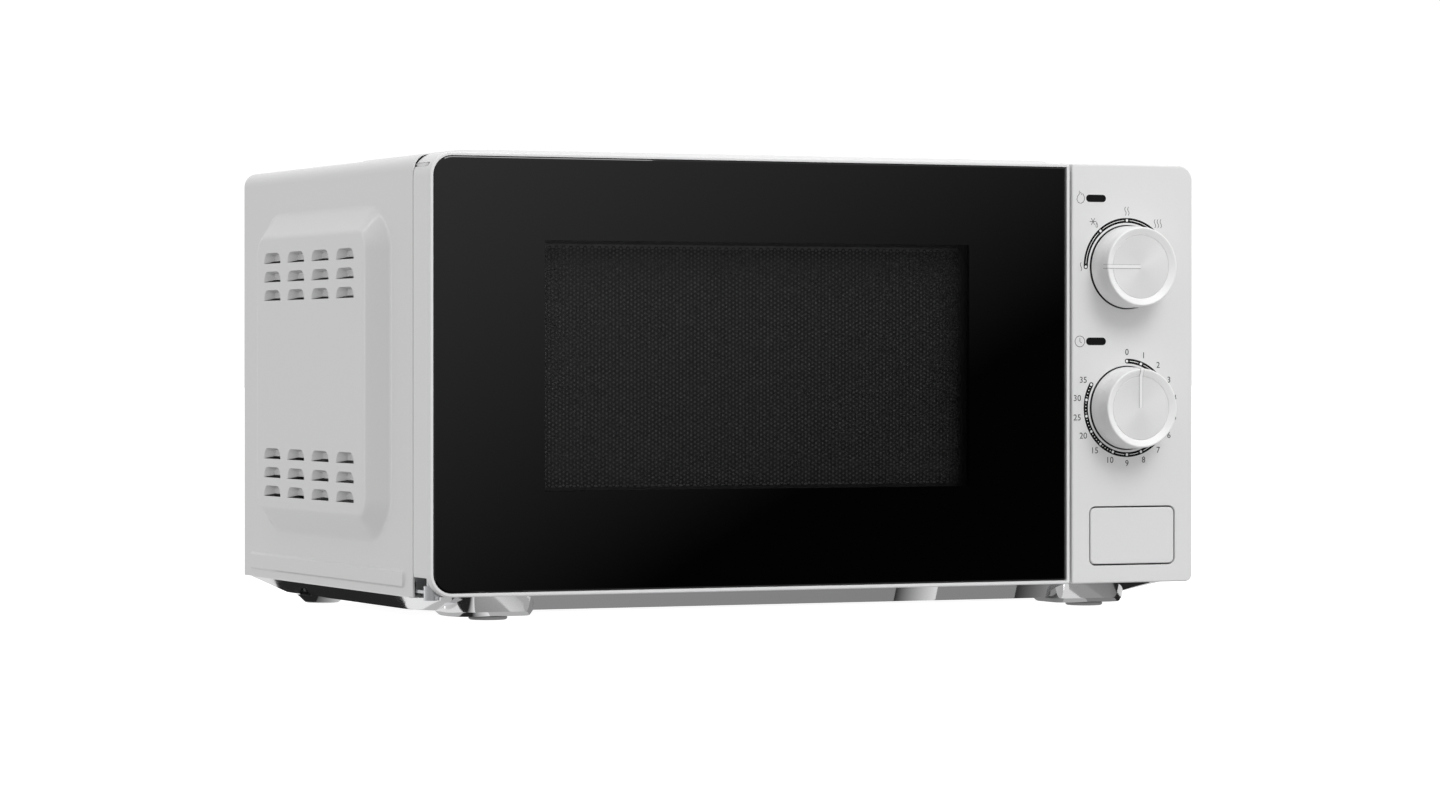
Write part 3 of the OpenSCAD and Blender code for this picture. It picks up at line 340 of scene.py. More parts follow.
tray_low, tray_high = span("base_pan")
lip_z, tray_z, boss_z = 12.8, 4.2, tray_low[2] + 1.9
rear_x, rear_y, rear_r = 196.6, 91.45, 14


def tray_ring(inset, z, front_r, back_r):
    """The tray's outline drawn in by `inset`, with its own corner radii, at height z."""
    return [(u, v, z) for u, v in rounded(tray_low[0] + inset, tray_low[1] + inset, tray_high[0] - inset,
                                          tray_high[1] - inset, [front_r, front_r, back_r, back_r], steps=16)]


tray = Sheet()
tray.loft([tray_ring(0.1, lip_z, 6, 6), tray_ring(0, lip_z - 0.4, 6, 6), tray_ring(6.4, 8.4, 23, 12),
           tray_ring(12.1, 4.7, 38, 18), tray_ring(12.7, 4.33, 39, 19), tray_ring(13.4, tray_z, 40, 20)])
rear_feet = [[(x + rear_r * cos(pi * k / 24), rear_y + rear_r * sin(pi * k / 24)) for k in range(48)]
             for x in (-rear_x, rear_x)]
tray.fill([(u, v) for u, v, _ in tray_ring(13.4, 0, 40, 20)], rear_feet, lambda u, v: (u, v, tray_z))
for side in (-1, 1):
    tray.lathe([(rear_r, tray_z), (rear_r - 0.6, tray_z - 0.1), (9.4, 0.4), (8.6, 0), (0, 0)],
               lambda a, b, h: (side * rear_x + a, rear_y + b, h), 48)
    boss = [[(side * u, v, z) for u, v in rounded(-198 + a, tray_low[1] + b, -150 - a, -79.6 - a,
                                                  [14 - a, 9 - a, 6, 6])]
            for a, b, z in ((0, 0.02, lip_z - 0.5), (0.7, 1.2, 4.4), (1.1, 1.4, 3.9),
                            (2.6, 2.1, boss_z + 0.3), (3.2, 2.6, boss_z))]
    tray.loft(boss)
    tray.fill([(u, v) for u, v, _ in boss[-1]], [], lambda u, v: (u, v, boss_z))
    edge_x = side * tray_high[0]
    tray.loft([[(edge_x, v, z) for v in (tray_low[1] + 6, tray_high[1] - 6)]
               for z in (lip_z - 0.4, tray_high[2])], closed=False)
tray.piece("pressed_tray", bright_steel, "cabinet", "base_metal", "base_pan", sharp=40)

# ---------------------------------------------------------------- front feet
# Two low discs of hard rubbery plastic pushed through the bosses of the tray, with a dished sole.

foot_plastic = finish("foot_plastic", (0.34, 0.34, 0.34), 0.55, grain=0.6, relief=0.02)
feet_low, feet_high = span("front_feet")
foot_r = (feet_high[1] - feet_low[1]) / 2
feet = Sheet()
for x in (feet_low[0] + foot_r, feet_high[0] - foot_r):
    feet.lathe([(0, 0.5), (6, 0.5), (6.6, 0), (9.2, 0), (foot_r, 0.6), (foot_r, 1.4), (9.5, 1.85), (3, 1.85),
                (3, 5.4), (2.4, 6), (0, 6)],
               lambda a, b, h: (x + a, feet_low[1] + foot_r + b, h))
feet.piece("front_feet_moulded", foot_plastic, "cabinet", "foot_plastic", "front_feet")

# ---------------------------------------------------------------- chassis
# Front plate, back panel, wave duct, brackets, clamps and screws are plain zinc-plated steel sheet and
# wire, punched, folded and spot welded. The back panel carries the vents and a rubber grommet.

zinc = finish("zinc_plate", (0.62, 0.63, 0.64), 0.34, 0.9, grain=7, relief=0.01, shade=0.09, wander=0.25)
zinc_screw = finish("zinc_screw", (0.5, 0.5, 0.5), 0.3, 1.0, grain=0.8, relief=0.02)
spring_steel = finish("spring_steel", (0.42, 0.42, 0.44), 0.22, 1.0, grain=0.4, relief=0.01)
rubber = finish("grommet_rubber", (0.02, 0.02, 0.02), 0.7, grain=0.5, relief=0.03)
wear(zinc, "front_frame", "back_panel", "waveguide", "capacitor_clamp", "lower_hinge",
     "magnetron_yoke", "magnetron_filter", "hv_capacitor", "turntable_motor", "timer_unit", "timer_shaft",
     "power_shaft")
wear(zinc_screw, "casing_screws", "chassis_screws")
wear(spring_steel, "button_spring", "latch_spring")
wear(rubber, "cord_grommet")

# ---------------------------------------------------------------- cavity
# The cooking box, folded and welded steel with a speckle-free white enamel baked on; the mica sheet on
# its right wall covers the wave inlet.

enamel = finish("cavity_enamel", (0.70, 0.71, 0.70), 0.28, grain=4, relief=0.03, shade=0.03)
enamel.node_tree.nodes["Principled BSDF"].inputs["Coat Weight"].default_value = 0.4
mica = finish("mica", (0.45, 0.37, 0.24), 0.35, grain=2.5, relief=0.02, shade=0.3, wander=0.4)
wear(enamel, "cavity")
wear(mica, "feed_cover")

# ---------------------------------------------------------------- power parts
# Magnetron, transformer, capacitor, fan and small boards stand on the tray beside the cavity: bare and
# plated metals, wound copper, ceramic, and white and black moulded plastic.

aluminium = finish("fin_aluminium", (0.72, 0.73, 0.75), 0.3, 1.0, grain=1.2, relief=0.01, stretch=(1, 1, 8))
copper = finish("copper", (0.62, 0.27, 0.13), 0.3, 1.0, grain=0.8, relief=0.05, stretch=(1, 1, 9))
core_steel = finish("core_steel", (0.13, 0.13, 0.14), 0.45, 0.7, grain=1, relief=0.08, stretch=(1, 12, 1))
brass = finish("bell_brass", (0.68, 0.5, 0.2), 0.25, 1.0, grain=1.5, relief=0.01)
ceramic = finish("ceramic", (0.78, 0.75, 0.68), 0.5, grain=1.2, relief=0.03)
board_green = finish("board_green", (0.05, 0.22, 0.1), 0.4, grain=2, relief=0.02, shade=0.15)
white_plastic = finish("white_plastic", (0.78, 0.78, 0.76), 0.42, grain=1.1, relief=0.015)
black_plastic = finish("black_plastic", (0.02, 0.02, 0.022), 0.45, grain=0.9, relief=0.02)
signal_red = finish("signal_red", (0.6, 0.05, 0.04), 0.4, grain=0.9, relief=0.02)
lamp_glass = finish("lamp_glass", (0.9, 0.9, 0.86), 0.08, grain=3, relief=0.01, shade=0.02)
lamp_glass.node_tree.nodes["Principled BSDF"].inputs["Transmission Weight"].default_value = 0.7
wear(aluminium, "magnetron_fins")
wear(copper, "magnetron_antenna", "transformer_windings")
wear(core_steel, "transformer_core", "fan_motor")
wear(brass, "timer_bell")
wear(ceramic, "thermal_cutouts", "lamp_holder")
wear(board_green, "filter_board")
wear(white_plastic, "fan_shroud", "fan_blade", "air_duct", "latch_housing", "release_lever", "latch_hooks",
     "turntable_coupler", "roller_ring", "roller_1", "roller_2", "roller_3")
wear(black_plastic, "hv_diode", "interlock_switches")
wear(signal_red, "switch_plungers")
wear(lamp_glass, "oven_lamp")

# ---------------------------------------------------------------- glass tray
# A pressed glass plate with a raised rim, rings moulded in its floor and three lugs underneath for the
# coupler. It lies loose on the three rollers.

tray_glass = bpy.data.materials.new("tray_glass")
tray_glass.use_nodes = True
pressed = tray_glass.node_tree.nodes["Principled BSDF"]
pressed.inputs["Base Color"].default_value = (0.86, 0.93, 0.91, 1)
pressed.inputs["Roughness"].default_value = 0.06
pressed.inputs["IOR"].default_value = 1.5
pressed.inputs["Transmission Weight"].default_value = 0.85
ripple = tray_glass.node_tree.nodes.new("ShaderNodeTexNoise")
ripple.inputs["Scale"].default_value = 120
ripple_bump = tray_glass.node_tree.nodes.new("ShaderNodeBump")
ripple_bump.inputs["Distance"].default_value = 0.05 * MM
ripple_place = tray_glass.node_tree.nodes.new("ShaderNodeTexCoord")
link(tray_glass.node_tree, ((ripple_place, "Object"), (ripple, "Vector")),
     ((ripple, "Fac"), (ripple_bump, "Height")), ((ripple_bump, "Normal"), (pressed, "Normal")))
plate_low, plate_high = span("glass_tray")
plate_x, plate_y = (plate_low[0] + plate_high[0]) / 2, (plate_low[1] + plate_high[1]) / 2
plate_r, under, rim_z = (plate_high[0] - plate_low[0]) / 2, plate_high[2] - 11, plate_high[2]
floor_line = [(0, under + 4.5)]
for r in (38, 62, 86):
    floor_line += [(r - 1.2, under + 4.5), (r, under + 5.0), (r + 1.2, under + 4.5)]
plate = Sheet()
plate.lathe([(0, under), (plate_r - 14, under), (plate_r - 13, under + 0.5), (plate_r - 0.4, rim_z - 1.3),
             (plate_r, rim_z - 0.7), (plate_r - 0.5, rim_z - 0.1), (plate_r - 1.6, rim_z),
             (plate_r - 3.2, rim_z - 0.4), (plate_r - 15, under + 5), (plate_r - 16.4, under + 4.5),
             *floor_line[::-1]],
            lambda a, b, h: (plate_x + a, plate_y + b, h), 128)
for k in range(3):
    a0 = radians(60 + 120 * k)
    lug_x, lug_y = plate_x + 9 * cos(a0), plate_y + 9 * sin(a0)
    plate.lathe([(2.4, under), (2.4, plate_low[2] + 0.5), (1.9, plate_low[2]), (0, plate_low[2])],
                lambda a, b, h: (lug_x + a, lug_y + b, h), 24)
plate.piece("pressed_glass_tray", tray_glass, "tray", "tray_glass", "glass_tray", sharp=30)

# ---------------------------------------------------------------- outer cover
# One steel sheet folded over top and sides and stove enamelled white. Each side has a raised panel with
# two banks of pressed louvres and a long rib along its foot; the top has a shallow raised panel.

cover_paint = finish("cover_paint", (0.78, 0.78, 0.78), 0.4, grain=1.6, relief=0.004, shade=0.006)
paint_shader = cover_paint.node_tree.nodes["Principled BSDF"]
paint_shader.inputs["Coat Weight"].default_value = 0.35
paint_shader.inputs["Coat Roughness"].default_value = 0.09


def bevelled(u0, v0, u1, v1, cut_u, cut_v, steps=8, curl=0.45):
    """A rectangle whose corners are cut back by soft diagonals, in the same order as `rounded`."""
    loop = []
    corners = [(u0, v0, 1, 1, True), (u1, v0, -1, 1, False), (u1, v1, -1, -1, True), (u0, v1, 1, -1, False)]
    for u, v, su, sv, first in corners:
        ends = [(u + su * cut_u, v), (u, v + sv * cut_v)]
        a, b = ends[::-1] if first else ends
        for i in range(steps + 1):
            t = i / steps
            c, d = [(p + (q - p) * curl, w + (z - w) * curl) for (p, w), (q, z) in ((a, (u, v)), (b, (u, v)))]
            loop.append(tuple((1 - t) ** 3 * a[k] + 3 * (1 - t) ** 2 * t * c[k] + 3 * (1 - t) * t * t * d[k]
                              + t ** 3 * b[k] for k in (0, 1)))
    return loop


def press(sheet, foot, crest, height, place, soft=0.2, steps=4):
    """Raises a sheet from one outline to another in a slope with soft ends."""
    stops = [soft * i / steps for i in range(steps)] + [soft, 1 - soft]
    stops += [1 - soft + soft * (i + 1) / steps for i in range(steps)]
    rings = []
    for t in stops:
        if t < soft:
            rise = t * t / (2 * soft * (1 - soft))
        elif t <= 1 - soft:
            rise = (t - soft / 2) / (1 - soft)
        else:
            rise = 1 - (1 - t) ** 2 / (2 * soft * (1 - soft))
        rings.append([place(a + (c - a) * t, b + (d - b) * t, height * rise)
                      for (a, b), (c, d) in zip(foot, crest)])
    sheet.loft(rings)


cover_low, cover_high = span("outer_cover")
side_rise, top_rise, fold_r, half_w = 7.5, 4.5, 7.5, 220
top_z = cover_high[2] - top_rise
front, back = cover_low[1], cover_high[1]
flat_side = rounded(front, cover_low[2], back, top_z - fold_r, [0.05] * 4, steps=1)
side_foot = bevelled(-84.95, 38.2, 127.25, 214.4, 33, 24)
side_crest = rounded(-61.2, 53.5, 110.45, 198.7, [8] * 4)
rib_foot = rounded(-103.45, 16.7, 146.45, 26.5, [3.5] * 4, steps=4)
rib_crest = rounded(-102.05, 18.1, 145.05, 25.1, [2.1] * 4, steps=4)

louvre_w, louvre_h, louvre_mouth, louvre_deep = 28, 5.8, 1.3, 4.2


def louvre_loop(half, low, high, round_u, round_v, steps=5):
    """The curved upper edge of a louvre, from its front end over the top to its rear end."""
    loop = []
    for sign in (-1, 1):
        bend = [(sign * (half - round_u + round_u * cos(0.5 * pi * i / steps)),
                 high - round_v + round_v * sin(0.5 * pi * i / steps)) for i in range(steps + 1)]
        loop += bend if sign < 0 else bend[::-1]
    return [(-half, low), *loop, (half, low)] if high - round_v > low + 0.01 else loop


mouth = louvre_loop(louvre_w / 2, 0, louvre_h, 6.2, louvre_h)
scoop = louvre_loop(louvre_w / 2 - 6.2, louvre_mouth, louvre_h - 1.2, 1.6, louvre_h - 1.2 - louvre_mouth)
cover = Sheet()
for side in (-1, 1):
    def on_side(u, v, h=0.0):
        return side * (half_w + h), u, v

    cover.fill(flat_side, [side_foot, rib_foot], on_side)
    press(cover, side_foot, side_crest, side_rise, on_side)
    press(cover, rib_foot, rib_crest, 1.1, on_side, steps=2)
    cover.fill(rib_crest, [], lambda u, v: on_side(u, v, 1.1))
    cuts = []
    for z in (186.1, 175.9, 165.8, 79.4, 69.1, 58.9):
        for i in range(4):
            y = -32.7 + 39.5 * i
            cuts.append([(y + u, z + v) for u, v in mouth])
            ramp = [[on_side(y + a + (c - a) * t, z + b + (d - b) * t, side_rise - louvre_deep * t)
                     for (a, b), (c, d) in zip(mouth, scoop)] for t in (0, 0.04, 0.5, 0.96, 1)]
            cover.loft(ramp, closed=False)
            cover.fill([(y + u, z + v) for u, v in scoop], [],
                       lambda u, v: on_side(u, v, side_rise - louvre_deep))
    cover.fill(side_crest, cuts, lambda u, v: on_side(u, v, side_rise))
    bend = [(side * (half_w - fold_r + fold_r * cos(0.5 * pi * i / 12)),
             top_z - fold_r + fold_r * sin(0.5 * pi * i / 12)) for i in range(13)]
    cover.loft([[(x, front, z), (x, back, z)] for x, z in bend], closed=False)
    hem = [(side * half_w, cover_low[2]), *bend]
    cover.loft([[(x, front, z), (x - side * min(1, abs(x) - half_w + fold_r), front,
                                 z - (1 if z > top_z - 0.01 else 0))] for x, z in hem], closed=False)
flat_top = rounded(-half_w + fold_r, front, half_w - fold_r, back, [0.05] * 4, steps=1)
top_foot = rounded(-193, -95.55, 175, 85.65, [24] * 4)
top_crest = rounded(-181, -83.55, 163, 73.65, [14] * 4)
cover.fill(flat_top, [top_foot], lambda u, v: (u, v, top_z))
press(cover, top_foot, top_crest, top_rise, lambda u, v, h: (u, v, top_z + h))
cover.fill(top_crest, [], lambda u, v: (u, v, top_z + top_rise))
cover.piece("pressed_cover", cover_paint, "cabinet", "cover_paint", "outer_cover", sharp=50)

# ---------------------------------------------------------------- door frame
# The door's moulded shell: a deep light grey plastic frame with a narrow bezel round the glass, rounded
# at the hinge side, hollow behind, with slots for the hooks and pockets for both hinge pins.

bezel_plastic = finish("bezel_plastic", (0.82, 0.82, 0.825), 0.33, grain=0.9, relief=0.008, shade=0.01)
door_low, door_high = span("door_frame")
door_front, door_back = door_low[1], door_high[1]
bezel_w, door_r = 1.9, 12


def door_ring(inset, y):
    """The door's outline drawn in by `inset`, at depth y."""
    radii = [door_r - inset, 1.6 - inset, 1.6 - inset, door_r - inset]
    return [(u, y, v) for u, v in rounded(door_low[0] + inset, door_low[2] + inset, door_high[0] - inset,
                                          door_high[2] - inset, radii)]


def cut(target, corners_low, corners_high):
    """Takes a rectangular pocket out of a mesh, then drops the tool."""
    (x0, y0, z0), (x1, y1, z1) = corners_low, corners_high
    tool = surface("pocket", [(x, y, z) for x in (x0, x1) for y in (y0, y1) for z in (z0, z1)],
                   [(0, 1, 3, 2), (4, 6, 7, 5), (0, 4, 5, 1), (2, 3, 7, 6), (0, 2, 6, 4), (1, 5, 7, 3)],
                   target.data.materials[0])
    knife = target.modifiers.new("pocket", "BOOLEAN")
    knife.operation, knife.object = "DIFFERENCE", tool
    graph = bpy.context.evaluated_depsgraph_get()
    carved = bpy.data.meshes.new_from_object(target.evaluated_get(graph))
    target.modifiers.remove(knife)
    target.data = carved
    bpy.data.objects.remove(tool)


screen_low, screen_high = span("door_screen")
lip = 0.8
rim = [(0.15, door_back), (0, door_back - 0.15), (0, door_front + lip)]
rim += [(lip * (1 - cos(a)), door_front + lip * (1 - sin(a))) for a in (0.4, 0.8, 1.2, pi / 2)]
rim += [(bezel_w - 0.4, door_front), (bezel_w - 0.1, door_front + 0.1), (bezel_w, door_front + 0.4),
        (bezel_w, door_front + 3.4), (11, door_front + 3.4), (11, door_front + 5.4), (2.4, door_front + 5.4),
        (2.4, door_back - 1.8)]
rings = [door_ring(inset, y) for inset, y in rim]
for y in (door_back - 1.8, door_back):
    rings.append([(u, y, v) for u, v in rounded(screen_low[0] - 1, screen_low[2] - 1, screen_high[0] + 1,
                                                screen_high[2] + 1, [1] * 4)])
shell = Sheet()
shell.loft([*rings, rings[0]])
door_shell = shell.piece("door_shell", bezel_plastic, "door", "bezel_plastic", "door_frame")
door_shell.modifiers.clear()
hook_low, hook_high = span("latch_hooks")
pockets = [((-221, -134.55, 12), (-206, -114, 23.2)), ((-221, -134.55, 231.2), (-206, -114, 233.2))]
pockets += [((hook_low[0] - 1, door_back - 3, z - 7), (hook_high[0] + 1, door_back + 1, z + 10))
            for z in (61.6, 186.4)]
for low, high in pockets:
    cut(door_shell, low, high)
door_shell.data.shade_smooth()
door_shell.data.set_sharp_from_angle(angle=radians(35))
door_shell.modifiers.new("even_shading", "WEIGHTED_NORMAL").keep_sharp = True
wear(bezel_plastic, "choke_cover", "upper_hinge")

# ---------------------------------------------------------------- door glass
# A pane of tempered glass, printed black on its back except for a smoked window in the middle, and
# bonded into the bezel.

pane_low, pane_high = span("door_glass")
door_pane = bpy.data.materials.new("door_glass")
door_pane.use_nodes = True
tree = door_pane.node_tree
pane_shader = tree.nodes["Principled BSDF"]
pane_shader.inputs["Roughness"].default_value = 0.02
pane_shader.inputs["Base Color"].default_value = (0.0015, 0.0015, 0.0015, 1)
window_low, window_high = (-157.5, 66.5), (84.5, 194.2)
where = tree.nodes.new("ShaderNodeTexCoord")
axes = tree.nodes.new("ShaderNodeSeparateXYZ")
link(tree, ((where, "Object"), (axes, 0)))
steps = []
for axis, low, high in (("X", window_low[0], window_high[0]), ("Z", window_low[1], window_high[1])):
    offset = tree.nodes.new("ShaderNodeMath")
    offset.operation = "SUBTRACT"
    offset.inputs[1].default_value = (low + high) / 2 * MM
    reach = tree.nodes.new("ShaderNodeMath")
    reach.operation = "ABSOLUTE"
    within = tree.nodes.new("ShaderNodeMath")
    within.operation = "LESS_THAN"
    within.inputs[1].default_value = (high - low) / 2 * MM
    link(tree, ((axes, axis), (offset, 0)), ((offset, 0), (reach, 0)), ((reach, 0), (within, 0)))
    steps.append(within)
both = tree.nodes.new("ShaderNodeMath")
both.operation = "MULTIPLY"
tint = tree.nodes.new("ShaderNodeMapRange")
tint.inputs["To Min"].default_value = 1.0
tint.inputs["To Max"].default_value = 0.34
link(tree, ((steps[0], 0), (both, 0)), ((steps[1], 0), (both, 1)), ((both, 0), (tint, "Value")),
     ((tint, "Result"), (pane_shader, "Alpha")))


def pane_ring(inset, y):
    """The glass's outline drawn in by `inset`."""
    radii = [door_r - 1.5 - inset, 0.8 - inset, 0.8 - inset, door_r - 1.5 - inset]
    return [(u, y, v) for u, v in rounded(pane_low[0] + inset, pane_low[2] + inset, pane_high[0] - inset,
                                          pane_high[2] - inset, radii)]


pane = Sheet()
pane.loft([pane_ring(0, pane_high[1]), pane_ring(0, pane_low[1] + 0.9), pane_ring(0.25, pane_low[1] + 0.3),
           pane_ring(0.9, pane_low[1])])
for y, inset in ((pane_low[1], 0.9), (pane_high[1], 0)):
    pane.fill([(u, w) for u, _, w in pane_ring(inset, y)], [], lambda u, v: (u, y, v))
pane.piece("door_glass_pane", door_pane, "door", "door_glass", "door_glass", sharp=20)

# ---------------------------------------------------------------- door screen
# The sheet steel screen behind the glass, painted black and punched with thousands of small round
# holes on a hexagonal net; they let light out and keep the waves in.

screen_paint = finish("screen_paint", (0.03, 0.03, 0.03), 0.5, grain=0.8, relief=0.01, shade=0.1)
hole_r, column, row = 0.62, 1.983, 2.29
field_low, field_high = (-155.3, 69.2), (81.8, 191.5)
columns = round((field_high[0] - field_low[0]) / column)
rows = round((field_high[1] - field_low[1]) / row)
screen_y = screen_low[1]
net = Sheet()
cell = [(column * 2 / 3 * cos(pi / 3 * k), column * 2 / 3 * sin(pi / 3 * k)) for k in range(6)]
ring = [(hole_r * cos(pi / 6 * k), hole_r * sin(pi / 6 * k)) for k in range(12)]
stretch_v = row / (sqrt(3) * column * 2 / 3)
for i in range(columns + 1):
    for j in range(rows + (i % 2 == 0)):
        x = field_low[0] + i * column
        z = field_low[1] + (j + 0.5 * (i % 2)) * row
        base = len(net.points)
        net.points += [(x + u, screen_y, z + v * stretch_v) for u, v in cell]
        net.points += [(x + u, screen_y, z + v) for u, v in ring]
        for k in range(6):
            a, b = base + k, base + (k + 1) % 6
            p, q, r = (base + 6 + (2 * k + s) % 12 for s in range(3))
            net.faces += [(a, q, p), (a, b, q), (b, r, q)]
for (x0, x1), (z0, z1) in (((screen_low[0], field_low[0] - 1.1), (screen_low[2], screen_high[2])),
                           ((field_high[0] + 1.1, screen_high[0]), (screen_low[2], screen_high[2])),
                           ((field_low[0] - 1.4, field_high[0] + 1.4), (screen_low[2], field_low[1] - 1.0)),
                           ((field_low[0] - 1.4, field_high[0] + 1.4),
                            (field_high[1] + 1.2, screen_high[2]))):
    y = screen_y + 0.05
    net.loft([[(x0, y, z0), (x1, y, z0)], [(x0, y, z1), (x1, y, z1)]], closed=False)
walls = rounded(screen_low[0], screen_low[2], screen_high[0], screen_high[2], [0.05] * 4, steps=1)
net.loft([[(u, y, v) for u, v in walls] for y in (screen_y + 0.05, screen_high[1])])
net.piece("punched_screen", screen_paint, "door", "screen_paint", "door_screen")

window_sheet = finish("window_sheet", (0.60, 0.60, 0.60), 0.35, grain=2, relief=0.01, shade=0.02)
wear(window_sheet, "inner_window")

# ---------------------------------------------------------------- control panel
# A white moulded panel beside the door, glossy at its edges, with an opening for the push button. Its
# scales, numerals and signs are printed on.

panel_plastic = finish("panel_plastic", (0.80, 0.80, 0.80), 0.34, grain=0.8, relief=0.006, shade=0.006)
panel_low, panel_high = span("control_panel")
button_low, button_high = span("release_button")
play, button_r = 0.8, 3


def panel_ring(inset, y):
    """The control panel's outline drawn in by `inset`."""
    radii = [0.8 - inset, 4 - inset, 8 - inset, 0.8 - inset]
    return [(u, y, v) for u, v in rounded(panel_low[0] + inset, panel_low[2] + inset, panel_high[0] - inset,
                                          panel_high[2] - inset, radii)]


def flat(ring):
    """A ring's points as seen from the front."""
    return [(u, v) for u, _, v in ring]


def soften(edge, y, sign=1):
    """Insets and depths of a quarter round at a front edge."""
    return [(edge * (1 - cos(a)), y + sign * edge * (1 - sin(a))) for a in (0, 0.4, 0.8, 1.2, pi / 2)]


shell = Sheet()
panel_front = panel_low[1]
edge = soften(0.9, panel_front)
outside = [panel_ring(0, panel_high[1])] + [panel_ring(inset, y) for inset, y in edge]
hatch = [[(u, y, v) for u, v in rounded(button_low[0] - play - g, button_low[2] - play - g,
                                        button_high[0] + play + g, button_high[2] + play + g,
                                        [button_r + play + g] * 4)]
         for g, y in ((0.4, panel_front), (0.12, panel_front + 0.12), (0, panel_front + 0.4),
                      (0, panel_front + 2.4))]
well_x, well_r, timer_z, power_z = 179.6, 22.7, 107.6, 183.3
wells = [[(well_x + well_r * cos(pi / 48 * k), z + well_r * sin(pi / 48 * k)) for k in range(96)]
         for z in (timer_z, power_z)]
shell.loft(outside)
shell.loft(hatch)
shell.fill(flat(outside[-1]), [flat(hatch[0]), *wells], lambda u, v: (u, panel_front, v))
inner = [panel_ring(2.4, panel_front + 2.4), panel_ring(2.4, panel_high[1])]
shell.fill(flat(inner[0]), [flat(hatch[-1]), *wells], lambda u, v: (u, panel_front + 2.4, v))
shell.loft([*inner, outside[0]])
for hole in wells:
    shell.loft([[(u, y, v) for u, v in hole] for y in (panel_front, panel_front + 2.4)])
shell.piece("panel_moulding", panel_plastic, "cabinet", "panel_plastic", "control_panel")

# Painted shade: the floors of the two dial wells are black, so the narrow gap round each dial's base looks as
# dark as the shadow there.
well_shade_floor = Sheet()
for well in wells:
    x, z = (sum(axis) / len(well) for axis in zip(*well))
    well_shade_floor.lathe([(3.6, 1.6), (22.6, 1.6), (22.6, 2.4), (3.6, 2.4), (3.6, 1.6)],
                     lambda a, b, h: (x + a, panel_front + h, z + b))
well_shade_floor.piece("dial_well_painted_shade", black_plastic, "cabinet", "black_plastic")

black_ink = finish("black_ink", (0.006, 0.006, 0.006), 0.7, grain=0.7, relief=0.003)
white_ink = finish("white_ink", (0.85, 0.85, 0.85), 0.45, grain=0.7, relief=0.003)
grey_ink = finish("grey_ink", (0.07, 0.07, 0.07), 0.7, grain=0.7, relief=0.003)


for applied_material in (black_ink, grey_ink):
    applied_material.node_tree.nodes["Principled BSDF"].inputs["Specular IOR Level"].default_value = 0.1


def arc(cx, cz, radius, start, end, width, steps=48):
    """A flat band along a circle; angles run clockwise from the top, in degrees. Its ends are round."""
    path = [(cx + radius * sin(radians(start + (end - start) * i / steps)),
             cz + radius * cos(radians(start + (end - start) * i / steps))) for i in range(steps + 1)]
    return stroke(path, width)


def stroke(path, width):
    """The outline of a line of even width with round ends."""
    left, right = [], []
    for i, (u, v) in enumerate(path):
        (a, b), (c, d) = path[max(i - 1, 0)], path[min(i + 1, len(path) - 1)]
        n = hypot(c - a, d - b)
        left.append((u - (d - b) / n * width / 2, v + (c - a) / n * width / 2))
        right.append((u + (d - b) / n * width / 2, v - (c - a) / n * width / 2))
    caps = []
    for end, away in ((path[-1], path[-2]), (path[0], path[1])):
        turn = atan2(end[1] - away[1], end[0] - away[0])
        caps.append([(end[0] + width / 2 * cos(turn + pi / 2 - pi * k / 6),
                      end[1] + width / 2 * sin(turn + pi / 2 - pi * k / 6)) for k in range(1, 6)])
    return left + caps[0] + right[::-1] + caps[1]


def dot(cx, cz, radius):
    """A small round spot."""
    return [(cx + radius * cos(pi / 8 * k), cz + radius * sin(pi / 8 * k)) for k in range(16)]


def wave(cx, cz, tall, width=0.3):
    """One upright wavy line, the sign for heat."""
    return stroke([(cx + 0.42 * sin(2 * pi * k / 16), cz + tall * (k / 16 - 0.5)) for k in range(17)], width)


def print_on(name, applied_material, loops, lift):
    """Prints flat shapes on the panel, `lift` proud of it."""
    sheet = Sheet()
    for loop in loops:
        sheet.fill(loop, [], lambda u, v: (u, panel_front - lift, v))
    sheet.piece(name, applied_material, "cabinet", "panel_plastic")


dial_x, band_r, band_w, label_r = 179.64, 25.15, 2.6, 29.9
print_on("scale_bands", black_ink, [arc(dial_x, timer_z, band_r, 0, 300, band_w, 120),
                                    arc(dial_x, power_z, band_r, -90, 90, band_w, 80),
                                    *[rounded(x0, z0, x1, z1, [(z1 - z0) / 2] * 4)
                                      for x0, z0, x1, z1 in ((154.7, 218.1, 166.8, 222.0),
                                                             (154.7, 141.3, 166.8, 145.4))]], 0.04)
timer_marks = [20 * k for k in range(16)]
power_marks = [-90, -40, 0, 40, 90]
spots = [dot(dial_x + band_r * sin(radians(a)), z + band_r * cos(radians(a)), 0.75)
         for z, marks in ((timer_z, timer_marks), (power_z, power_marks)) for a in marks]
spots += [dot(dial_x + band_r * sin(radians(a)), timer_z + band_r * cos(radians(a)), 0.3)
          for a in range(204, 300, 4) if a % 20]
spots += [arc(dial_x, timer_z, band_r, a + 4, a + 16, 0.28, 8) for a in timer_marks[:10]]
spots += [arc(dial_x, power_z, band_r, a + 4, b - 4, 0.28, 16) for a, b in zip(power_marks, power_marks[1:])]
print_on("scale_marks", white_ink, spots, 0.08)

